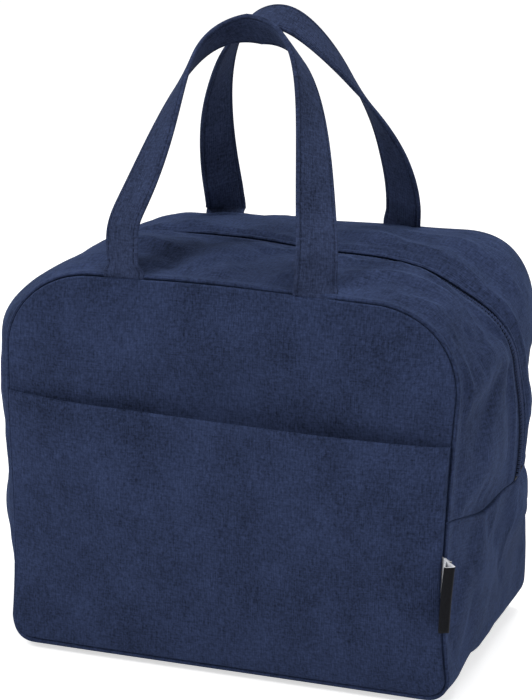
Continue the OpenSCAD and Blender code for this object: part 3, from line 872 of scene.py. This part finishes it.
def base_slack(s, y):
    """Creases of the base gusset's cloth from the simulation, weaker on the left."""
    path, lengths, amount = outline(False, 0.0055)
    places = np.linspace(0.001 - FACE_EDGE, FACE_EDGE - 0.001, 33)
    moved = relaxed("slack_base", gusset_points(path, amount, places, False), 0.035, 1.0, 45, 1.3)
    moved = moved * (sideness(path, False) * np.where(path[:, 0] < 0, 0.35, 1.0))[:, None]
    return carried(moved, s, lengths, y, places)


def make_base_gusset():
    path, s, amount, drop = rows_along(*outline(False))
    y, seam_drop, length = seam_across(-FACE_EDGE, 130)
    extra = -seam_drop - drop[:, None] + gusset_wrinkles(s, y, 23) + base_slack(s, y)
    step = FOOT_FORWARD * foot(path[:, 1])[:, None] * smooth((np.abs(y) - 0.045) / 0.035)
    points = gusset_points(path, amount, y + np.sign(y) * step, False, extra)
    obj = grid_object("base_gusset_cloth", points, weave(length, s), canvas, CANVAS_T)
    sewn(obj, "canvas", "base", "base_gusset")


# ---- pocket
HEM_T = 0.0022
HEM_H = 0.020
FACING_H = 0.060
POCKET_SLACK = 0.9


def pocket_stand(t, z):
    """How far the pocket stands off the panel: flat over its middle and upright above the fold."""
    across = 1 - (np.maximum(0, np.abs(t) - 0.4) / 0.6) ** 2.2
    below = 1 - np.minimum(1, (z - PANEL_Z0) / (FOLD_Z - PANEL_Z0))
    return POCKET_OUT * across * (1 - below**2)


def make_pocket():
    """One cloth: up the outside, over the mouth's fold and down the inside."""
    t = graded(121)
    corner = np.linspace(math.pi / 2, 0, 12)[:-1]
    low_z = PANEL_Z0 + BOTTOM_R - (BOTTOM_R - SEAM_A) * np.sin(corner)
    top_z = POCKET_Z1 - HEM_T / 2
    outer_z = np.concatenate([low_z, np.linspace(PANEL_Z0 + BOTTOM_R, top_z, 70)])
    turn = np.linspace(0, math.pi, 9)[1:-1]
    inner_z = np.linspace(top_z, top_z - FACING_H, 24)
    z = np.concatenate([outer_z, top_z + HEM_T / 2 * np.sin(turn), inner_z])
    outer_share = np.concatenate([np.ones(len(outer_z)), 0.5 + 0.5 * np.cos(turn), np.zeros(len(inner_z))])
    thick = CANVAS_T + (HEM_T - CANVAS_T) * smooth((z - POCKET_Z1 + HEM_H) / 0.001)
    x, zz, distance = over_panel(z, t, SEAM_A)
    inner = distance - SEAM_A
    pillow = PILLOW * 0.5 * (1 - np.exp(-np.maximum(0, inner) / 0.030)) * smooth((POCKET_Z1 - zz) / 0.05)
    waves = 0.0006 * ripples(x, zz, 0.12, 0.07, 31) * smooth(inner / 0.025)
    stand = pocket_stand(t, z[:, None]) * POCKET_SLACK
    out = HALF_D + stand + pillow + waves - ((1 - outer_share) * thick)[:, None]
    obj = rolled_sheet("pocket_cloth", x, zz, out, -1, canvas, with_top=False)
    sewn(obj, "canvas", "front", "pocket_lower", "pocket_upper")


# ---- foam and liner
FOAM_GAP = 0.0012
GUSSET_GAP = 0.0002
INNER_IN = 0.006
# An inner layer's kind, used in its pieces' names, depth behind the cover's face, thickness and material,
# and its edge's distance from the zip's middle.
FOAM = SimpleNamespace(kind="foam", depth=FOAM_IN + FOAM_GAP, thickness=FOAM_T - FOAM_GAP,
                       material=foam_cells, zip_edge=0.0139)
LINER = SimpleNamespace(kind="liner", depth=LINER_IN, thickness=LINER_T, material=foil, zip_edge=0.008)


def inner_layer(obj, layer, body, *nodes):
    sewn(obj, layer.kind, body, *nodes)


def make_inner_panel(side, body, layer):
    x, z, distance = panel_grid(INNER_IN, columns=61)
    out = panel_face(side, x, z, distance) - layer.depth
    points = settle(np.stack([x, side * out, z], -1))
    obj = grid_object(f"{body}_{layer.kind}_sheet", points, np.stack([x, z], -1), layer.material,
                      layer.thickness, lambda c: (0, side, 0))
    inner_layer(obj, layer, body, f"{body}_{layer.kind}_lower", f"{body}_{layer.kind}_upper")


def make_inner_gusset(name, side, body, layer, start, end):
    """Foam or liner of a gusset, from start to end across it."""
    upper = body != "base"
    path, lengths, amount = outline(upper, 0.004)
    y = np.linspace(start, end, 40)
    dent = np.minimum(0, zip_folds(lengths, np.abs(y), side)) if upper else 0.0
    points = gusset_points(path, amount, y, upper, dent - layer.depth - GUSSET_GAP)
    obj = grid_object(name + "_sheet", points, weave(y, lengths), layer.material, layer.thickness)
    inner_layer(obj, layer, body, name)


def make_binding(side, body):
    """Tape folded over the inner seam, all round a panel."""
    path = np.concatenate([outline(True, 0.003)[0], outline(False, 0.003)[0][1:-1][::-1]])
    centre = path[:, :2] - path[:, 2:] * (WALL_IN + BINDING_OFF)
    section = np.linspace(0, 2 * math.pi, 14, endpoint=False)
    across = BINDING_W / 2 * np.sign(np.cos(section)) * np.abs(np.cos(section)) ** 0.6
    through = BINDING_T / 2 * np.sign(np.sin(section)) * np.abs(np.sin(section)) ** 0.6
    middle = HALF_D - WALL_IN - BINDING_CLEAR - BINDING_W / 2
    x = centre[:, 0:1] + path[:, 2:3] * through
    z = centre[:, 1:2] + path[:, 3:4] * through
    y = np.broadcast_to(side * (middle + across), x.shape)
    points = settle(np.stack([x, y, z], -1))
    points = np.concatenate([points, points[:1]])
    around = np.arange(1, len(section) + 1) * BINDING_W * 2 / len(section)
    places = weave(around, run_along(points[:, 0]))
    obj = grid_object(f"{body}_binding_tape", points, places, binding_cloth, closed=True)
    sewn(obj, "binding", body, f"{body}_binding_lower", f"{body}_binding_upper")


# ---- zip
CHAIN_Z0 = tape_lo.z
PART_WIDTH = 0.0022
TAPE_MEET = 0.00015
TAPE_LIP_H = 0.0002
TAPE_LIP_W = 0.0007
CHAIN_END = 0.001
WEDGE_IN = 0.001
TOOTH_LIFT = 0.0002
ZIP_SUNK = 0.0017
ZIP_PROUD = 0.0003
STOP_LOW = SEAM_Z + 0.0003
STOP_HIGH = SEAM_Z + 0.0027
STOP_HALF_W = 0.0048
STOP_HALF_H = 0.0011
STOP_HALF_T = 0.0009
STOP_SUNK = 0.0004
# One turn of the coil: half its width along the zip, its thread's radius, how far it drops to the tape, how
# far its ends, its bend's start and its corners lie from the zip's middle, and how far its nose passes that.
COIL = SimpleNamespace(wide=0.00044, radius=0.00027, high=0.0005, end=0.0027, bend=0.0015, corner=0.0004,
                       nose=0.0006)


def zip_sunk(path):
    """How far the zip lies below its cover: deep along the top, and almost level up the sides."""
    return ZIP_SUNK * (1 - sideness(path, True)) - ZIP_PROUD


def make_tape(side, body):
    path, lengths, amount = outline(True)
    keep = path[:, 1] >= CHAIN_Z0 - CHAIN_END
    path, lengths, amount = path[keep], lengths[keep], amount[keep]
    y = side * np.linspace(TAPE_EDGE + TAPE_W, TAPE_MEET, 24)
    lip = TAPE_LIP_H * bell(np.abs(y), TAPE_EDGE, TAPE_LIP_W)
    points = gusset_points(path, amount, y, True, lip - TAPE_IN - zip_sunk(path)[:, None])
    obj = grid_object(f"zip_tape_{body}_cloth", points, weave(y, lengths), tape_cloth, TAPE_T)
    sewn(obj, "zip_tape", body, f"zip_tape_{body}")


def surface_way(path, amount):
    """Outward direction of the cover at the zip."""
    near = gusset_points(path, amount, np.array([-0.004, 0.004]), True)
    along = np.gradient(near.mean(axis=1), axis=0)
    way = unit(np.cross(along, near[:, 1] - near[:, 0]))
    outward = np.sum(way[:, [0, 2]] * path[:, 2:], axis=1)
    return way * np.sign(outward)[:, None]


def chain_places(offset):
    """Evenly spaced places along the zip: centre, outward direction and depth below the cover."""
    path, _, amount = outline(True, 0.001)
    mid = gusset_points(path, amount, np.zeros(1), True)[:, 0]
    run = run_along(mid)
    right_side = slice(len(path) // 4)
    start = np.interp(CHAIN_Z0 + CHAIN_END, path[right_side, 1], run[right_side])
    places = np.arange(start + offset * TOOTH_PITCH, run[-1] - start, TOOTH_PITCH)
    found = sampled(places, run, np.column_stack([mid, surface_way(path, amount), zip_sunk(path)]))
    return found[:, :3], found[:, 3:6], found[:, 6]


def coil_loop():
    """One turn of the zip's coil, as rings round a thread: from the tape to the middle and back."""
    turn = np.linspace(-math.pi / 2, math.pi / 2, 5)
    nose = COIL.corner - (COIL.corner + COIL.nose) * np.cos(turn)
    across = np.concatenate([[COIL.end, COIL.bend], nose, [COIL.bend, COIL.end]])
    along = np.concatenate([[-COIL.wide] * 2, COIL.wide * np.sin(turn), [COIL.wide] * 2])
    rise = COIL.high * np.array([-1, -0.2, 0, 0, 0, 0, 0, -0.2, -1])
    path = np.stack([along, across, rise], -1)
    way = unit(np.gradient(path, axis=0))
    beside = unit(np.cross(way, [0.0, 0.0, 1.0]))
    over = np.cross(beside, way)
    angles = np.linspace(0, 2 * math.pi, 6, endpoint=False)[:, None]
    rings = path[:, None] + COIL.radius * (beside[:, None] * np.cos(angles) + over[:, None] * np.sin(angles))
    return rings.reshape(-1, 3), grid_faces(len(path), len(angles), closed=True)


def make_teeth(side, body):
    """A row of coil turns, parted round the slider's wedge."""
    shape, loop_faces = coil_loop()
    centre, normal, sunk = chain_places(0.0 if side < 0 else 0.5)
    way = unit(np.gradient(centre, axis=0))
    beside = np.cross(normal, way)
    beside = beside * (np.sign(beside[:, 1]) * side)[:, None]
    past_wedge = (centre[:, 2] - SLIDER_Z - SLIDER_L / 2 + WEDGE_IN) / (SLIDER_L / 2)
    part = PART_WIDTH * (1 - smooth(past_wedge)) * (centre[:, 0] < 0)
    along, across, rise = shape.T
    height = (rise + TOOTH_LIFT - sunk[:, None])[..., None]
    reach = (across + part[:, None])[..., None]
    offset = normal[:, None] * height + way[:, None] * along[:, None] + beside[:, None] * reach
    points = (centre[:, None] + offset).reshape(-1, 3)
    faces = repeated(loop_faces, len(shape), len(centre))
    obj = mesh_object(f"zip_teeth_{body}_row", points, faces, points[:, :2], [coil], away_from_middle)
    sewn(obj, "zip_teeth", body, f"zip_teeth_{body}")


def make_stops():
    """A metal bar across each end of the zip, at its lower ends."""
    path, _, amount = outline(True, 0.0006)
    low = (path[:, 1] > STOP_LOW) & (path[:, 1] < STOP_HIGH)
    turn = np.linspace(0, 2 * math.pi, 16, endpoint=False)
    y = np.linspace(-STOP_HALF_W, STOP_HALF_W, 12)
    extra = STOP_HALF_T * np.sin(turn)[:, None] - STOP_SUNK
    bars = []
    for sign in (-1, 1):
        here, swollen = (values[low & (sign * path[:, 0] > 0)] for values in (path, amount))
        z = here[:, 1]
        centre = (z.min() + z.max()) / 2
        at = [np.argmin(np.abs(z - centre - STOP_HALF_H * math.cos(angle))) for angle in turn]
        bar = gusset_points(here[at], swollen[at], y, True, extra)
        bars.append(np.swapaxes(bar, 0, 1))
    points = np.concatenate(bars).reshape(-1, 3)
    faces = repeated(grid_faces(len(y), len(turn), closed=True), len(points) // 2, 2)
    obj = mesh_object("zip_stop_bars", points, faces, points[:, :2], [painted_metal], away_from_middle)
    sewn(obj, "zip_metal", "base", "zip_stops")


# ---- handles
STRAP_W = 0.025
STRAP_T = 0.003
STRAP_SOFT = 0.0068
SEWN_ROWS = 8
SEWN_END = (0, 0.003, -0.008)
STRAP_ROUND = 0.0014
STRAP_CROWN = 0.0002
GROOVE_DEEP = 0.0005
GROOVE_W = 0.0007
STITCH_IN = 0.0024
STITCH_PITCH = 0.0032
STITCH_FIRST = 0.001
THREAD_R = 0.00022
THREAD_GAP = 0.0004
THREAD_SUNK = 0.0004
# Each strap leaves its seam upright, bends, and arches over with a twist. Left leg first, then right.
FRONT_STRAP = SimpleNamespace(legs=(-0.0628, 0.0524), root_y=-0.0760, root_z=0.2347, rise=(0.0267, 0.0250),
                              drift=(-0.108, -0.011), steer=(0.0269, -0.0142), lean_in=0.0269, climb=0.0644,
                              top=(-0.0151, 0.0015, 0.3640), top_way=(1.0, -0.163, 0.112),
                              reach=(0.0531, 0.0410), first_turn=28.0, turn=110.0,
                              turn_from=(0.065, -0.305), turn_over=(1.79, 1.95), tuck=0.0)
BACK_STRAP = SimpleNamespace(legs=(-0.0672, 0.0486), root_y=-0.0869, root_z=0.2338, rise=(0.0078, 0.0082),
                             drift=(-0.010, -0.024), steer=(-0.0044, 0.0062), lean_in=0.0170, climb=0.0538,
                             top=(-0.0053, -0.0138, 0.3705), top_way=(1.0, 0.023, -0.024),
                             reach=(0.0393, 0.0229), first_turn=18.0, turn=81.4,
                             turn_from=(-0.385, -0.024), turn_over=(1.252, 1.035), tuck=0.0140)
TUCK_WAY = np.array([0.347, 0.888, 0.302])


def even_steps(points, count):
    run = run_along(points)
    return sampled(np.linspace(0, run[-1], count), run, points)


def strap_leg(shape, leg, sign, count):
    """One leg from the seam to the top, and how far it has turned on the way."""
    root = np.array([shape.legs[leg], shape.root_y, shape.root_z])
    top = np.array(shape.top)
    low = root + shape.rise[leg] * np.array([shape.drift[leg], 0.15, 1.0])
    first = low + np.array([shape.steer[leg], shape.lean_in, shape.climb])
    last = top + sign * shape.reach[leg] * np.array(shape.top_way)
    share = np.linspace(0, 1, count)
    curve = bend((low, first, last, top), share[:, None])
    riser = root + (low - root) * np.linspace(0, 1, 12)[:-1, None]
    turned = smooth((share - shape.turn_from[leg]) / shape.turn_over[leg])
    roll = shape.first_turn * (1 - share) ** 2 * smooth(share / 0.03) + shape.turn * turned / turned[-1]
    return even_steps(np.concatenate([riser, curve]), count), roll


def softened(points, length):
    """The same line with its bends rounded over a length."""
    step = np.linalg.norm(np.diff(points, axis=0), axis=1).mean()
    reach = int(3 * length / step)
    weights = np.exp(-0.5 * (np.arange(-reach, reach + 1) * step / length) ** 2)
    weights /= weights.sum()
    before = 2 * points[0] - points[1 : reach + 1][::-1]
    after = 2 * points[-1] - points[-reach - 1 : -1][::-1]
    longer = np.concatenate([before, points, after])
    return np.stack([np.convolve(longer[:, i], weights, "valid") for i in range(3)], -1)


def strap_frames(shape, count=120):
    """Middle line, way across, way through the strap, and length so far, from leg to leg."""
    left, left_roll = strap_leg(shape, 0, -1, count)
    right, right_roll = strap_leg(shape, 1, 1, count)
    middle = softened(np.concatenate([left, right[::-1][1:]]), STRAP_SOFT)
    rise = middle[:, 2] - shape.root_z
    tuck = shape.tuck * smooth((rise + 0.002) / 0.018) * (1 - smooth((rise - 0.042) / 0.055))
    middle = middle + tuck[:, None] * TUCK_WAY
    sunk = np.linspace(1, 0, SEWN_ROWS, endpoint=False)[:, None] * np.array(SEWN_END)
    middle = np.concatenate([middle[0] + sunk, middle, (middle[-1] + sunk)[::-1]])
    roll = np.radians(np.concatenate([left_roll, right_roll[::-1][1:]]))
    roll = np.pad(roll, SEWN_ROWS)[:, None]
    along = unit(np.gradient(middle, axis=0))
    lean = math.atan2(shape.top[1] - shape.root_y, shape.top[2] - shape.root_z)
    face = np.array([0, -math.cos(lean), math.sin(lean)])
    through = unit(face - (along @ face)[:, None] * along)
    out = np.cross(through, along)
    across = out * np.cos(roll) - through * np.sin(roll)
    return middle, across, out * np.sin(roll) + through * np.cos(roll), run_along(middle)


def strap_section():
    """Half the strap's outline: places across its width and their height, with stitched grooves."""
    across = STRAP_W / 2 * graded(37, 0.8)
    edge = STRAP_W / 2 - np.abs(across)
    round_in = np.sqrt(np.clip(1 - (1 - np.clip(edge / STRAP_ROUND, 0, 1)) ** 2, 0, 1))
    groove = GROOVE_DEEP * bell(edge, STITCH_IN, GROOVE_W)
    crown = STRAP_CROWN * np.cos(across / STRAP_W * math.pi)
    return across, STRAP_T / 2 * round_in - groove - STRAP_CROWN + crown


def hinged(obj):
    """The strap's place, baked into its mesh."""
    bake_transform(obj)


def make_handle(side, body, shape):
    middle, across, through, run = strap_frames(shape)
    width, height = strap_section()
    ring_w = np.concatenate([width, width[-2:0:-1]])
    ring_h = np.concatenate([height, -height[-2:0:-1]])
    points = middle[:, None] + across[:, None] * ring_w[:, None] + through[:, None] * ring_h[:, None]
    mirror = np.array([1, -side, 1])
    around = np.concatenate([width, 3 / 2 * STRAP_W - width[-2:0:-1]])
    places = weave(around, run)
    obj = grid_object(f"{body}_handle_strap", points * mirror, places, strap_cloth, outward=None, closed=True)
    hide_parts(f"{body}_handle")
    hinged(obj)
    stitches = strap_stitches(middle * mirror, across * mirror, through * mirror, run)
    hinged(stitches_object(f"{body}_handle_stitches", *stitches))


def stitches_object(name, starts, ends, outs):
    """Short flattened threads, each from a start to an end, with its outward direction."""
    ways = ends - starts
    cross = np.cross(unit(ways), outs)
    angles = np.linspace(0, 2 * math.pi, 6, endpoint=False)
    rings = []
    for share, size in ((0.0, 0.3), (0.15, 0.9), (0.5, 1.0), (0.85, 0.9), (1.0, 0.3)):
        for angle in angles:
            thread = cross * math.cos(angle) + outs * math.sin(angle) * 0.8
            rings.append(starts + ways * share + thread * THREAD_R * size)
    points = np.stack(rings, 1)
    points = points.reshape(-1, 3)
    faces = repeated(grid_faces(5, len(angles), closed=True), len(rings), len(starts))
    return mesh_object(name, points, faces, points[:, [0, 2]], [stitch_thread])


def strap_stitches(middle, across, through, run):
    """Starts, ends and outward directions of the rows along both edges and across both feet of a strap."""
    at = np.arange(STITCH_FIRST, run[-1] - STITCH_PITCH, STITCH_PITCH)
    aside = across * (STRAP_W / 2 - STITCH_IN)
    rows = []
    for edge, face in ((-1, -1), (-1, 1), (1, -1), (1, 1)):
        line = middle + edge * aside + face * through * (STRAP_T / 2 - THREAD_SUNK)
        rows.append((sampled(at + THREAD_GAP, run, line), sampled(at + STITCH_PITCH - THREAD_GAP, run, line),
                     sampled(at + STITCH_PITCH / 2, run, through * face)))
    foot_places = np.linspace(-0.46, 0.46, 10)[:, None] * STRAP_W
    for foot_at in (SEWN_ROWS + 1, -SEWN_ROWS - 2):
        out = through[foot_at]
        row = middle[foot_at] + across[foot_at] * foot_places + out * (STRAP_T - THREAD_SUNK) / 2
        outs = np.tile(out, (len(row) - 1, 1))
        rows.append((row[:-1], row[1:] - 0.25 * np.diff(row, axis=0), outs))
    return (np.concatenate(part) for part in zip(*rows))


# ---- side tag
TAG_ANGLE = math.radians(30)
TAG_ROOT_X = HALF_W + 0.0008
TAG_ROOT_Y = 0.0002 - HALF_D
TAG_LIFT = 0.0095
TAG_L = 0.0098
TAG_W = 0.0064
TAG_FOLD = TAG_W / 4
TAG_TILT = 0.07
TAG_GAP = 0.0008
CURL_AT = 0.0010
CURL = (0.0002, 0.0016)
TAG_WHITE = 5
RIBBON_T = 0.0007


def tag_loop():
    """The ribbon's path round its loop, ending in a curl at its second end."""
    turn = np.linspace(0, math.pi / 2, 8)
    face_x, face_y = np.linspace(TAG_GAP, TAG_W / 2, 12)[:-1], np.linspace(0, TAG_L - TAG_FOLD, 12)[:-1]
    half_x = np.concatenate([face_x, TAG_W / 2 - TAG_FOLD * (1 - np.cos(turn))])
    half_y = np.concatenate([face_y, TAG_L - TAG_FOLD * (1 - np.sin(turn))])
    curl = np.linspace(*CURL, TAG_WHITE)
    across = np.concatenate([half_x, -half_x[::-1], -CURL_AT - curl])
    along = np.concatenate([half_y, half_y[::-1], CURL_AT + 0.4 * curl])
    return across, along


def make_tag():
    """A ribbon folded into a loop, black outside and white inside."""
    across, along = tag_loop()
    turned = math.pi + TAG_ANGLE
    x = across * math.cos(turned) - along * math.sin(turned)
    y = across * math.sin(turned) + along * math.cos(turned)
    z = np.linspace(tag_lo.z, tag_hi.z, 24) + TAG_LIFT
    root = settle(np.stack([np.full(24, TAG_ROOT_X), np.full(24, TAG_ROOT_Y), z], -1))
    tilt = TAG_TILT * (tag_hi.z + TAG_LIFT - z)[:, None]
    points = np.stack(np.broadcast_arrays(x + root[:, 0:1] - tilt, y + root[:, 1:2], z[:, None]), -1)
    centre = Vector(points.reshape(-1, 3).mean(axis=0))
    obj = grid_object("side_tag_ribbon", points, weave(run_along(np.stack([x, y], -1)), z), ribbon_black,
                      outward=lambda c: (c.x - centre.x, c.y - centre.y, 0))
    obj.data.materials.append(ribbon_white)
    columns = len(x) - 1
    for number, face in enumerate(obj.data.polygons):
        row, column = divmod(number, columns)
        face.material_index = int(column >= columns - TAG_WHITE and 2 < row < 15)
    thicken(obj, RIBBON_T, 1)
    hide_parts("side_tag")
    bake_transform(obj)


# ---- build
SIDES = ((-1, "front", FRONT_STRAP), (1, "back", BACK_STRAP))
LINING_EDGE = HALF_D - WALL_IN
for side, body, _ in SIDES:
    make_panel(side, body)
for side, body, _ in SIDES:
    make_zip_gusset(side, body)
make_base_gusset()
make_pocket()
for side, body, strap in SIDES:
    for layer in (FOAM, LINER):
        make_inner_panel(side, body, layer)
    for layer in (FOAM, LINER):
        name = f"zip_gusset_{layer.kind}_{body}"
        make_inner_gusset(name, side, body, layer, side * LINING_EDGE, side * layer.zip_edge)
    make_binding(side, body)
    make_tape(side, body)
    make_teeth(side, body)
    make_handle(side, body, strap)
for layer in (FOAM, LINER):
    make_inner_gusset(f"base_gusset_{layer.kind}", 0, "base", layer, -LINING_EDGE, LINING_EDGE)
make_tag()
make_stops()
for node in ("slider_body", "pull_tab"):
    node_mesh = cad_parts[node].data
    node_mesh.materials.clear()
    node_mesh.materials.append(dark_metal)


# ---- studio
PALE_FLOOR = (0.82, 0.82, 0.82, 1)
WHITE = (1, 1, 1, 1)
FLOOR_HALF = 6.0


def floor_material():
    """White to the camera, and plain pale to everything else, with the object's soft shadow kept."""
    n = material_nodes("white_floor")
    diffuse = n.add("ShaderNodeBsdfDiffuse", PALE_FLOOR).outputs[0]
    glow = n.add("ShaderNodeEmission", WHITE, 0.62).outputs[0]
    path = n.add("ShaderNodeLightPath").outputs
    seen = n.math("MAXIMUM", path["Is Camera Ray"], path["Is Glossy Ray"])
    seen = n.math("MAXIMUM", seen, path["Is Transmission Ray"])
    both = n.add("ShaderNodeAddShader", diffuse, glow).outputs[0]
    n.give(n.out.inputs[0], n.add("ShaderNodeMixShader", seen, diffuse, both).outputs[0])
    return n.owner


def make_floor():
    mesh = bpy.data.meshes.new("floor")
    corners = [(x * FLOOR_HALF, y * FLOOR_HALF, 0) for x, y in ((-1, -1), (1, -1), (1, 1), (-1, 1))]
    mesh.from_pydata(corners, [], [(0, 1, 2, 3)])
    mesh.materials.append(floor_material())
    floor = placed("floor", mesh)
    floor.location.z = -0.0003


def make_world():
    """Plain pale light, and white where the camera sees it."""
    world = bpy.data.worlds.new("studio")
    bpy.context.scene.world = world
    n = Nodes(world, "ShaderNodeOutputWorld")
    plain, white = (n.add("ShaderNodeBackground", WHITE, strength).outputs[0] for strength in (0.42, 1.0))
    seen = n.add("ShaderNodeLightPath").outputs["Is Camera Ray"]
    n.give(n.out.inputs[0], n.add("ShaderNodeMixShader", seen, plain, white).outputs[0])


def add_area(name, place, target, size, power):
    light = bpy.data.lights.new(name, "AREA")
    light.shape = "SQUARE"
    light.size = size
    light.energy = power
    obj = placed(name, light)
    obj.location = place
    obj.rotation_euler = (Vector(target) - Vector(place)).to_track_quat("-Z", "Y").to_euler()


def make_camera():
    """The camera that was fitted to the photograph's view."""
    yaw, pitch, roll, distance = math.radians(21.36), math.radians(17.6), math.radians(0.43), 1.5072
    target = Vector((-0.0058, 0, 0.17384))
    back = Vector((math.sin(yaw) * math.cos(pitch), -math.cos(yaw) * math.cos(pitch), math.sin(pitch)))
    data = bpy.data.cameras.new("camera")
    data.lens = 131.6
    data.sensor_width = 36
    data.clip_start = 0.05
    camera = placed("camera", data)
    camera.location = target + back * distance
    camera.rotation_euler = ((-back).to_track_quat("-Z", "Y") @ Quaternion((0, 0, 1), roll)).to_euler()
    bpy.context.scene.camera = camera


make_floor()
make_world()
add_area("key", (-0.7, -1.3, 1.5), (0, 0, 0.15), 0.6, 17.5)
add_area("top", (0.2, 0.3, 1.8), (0, 0, 0.2), 0.7, 13)
add_area("fill", (1.6, -0.6, 0.7), (0, 0, 0.15), 0.8, 5)
make_camera()
bpy.context.scene.view_settings.view_transform = "Standard"
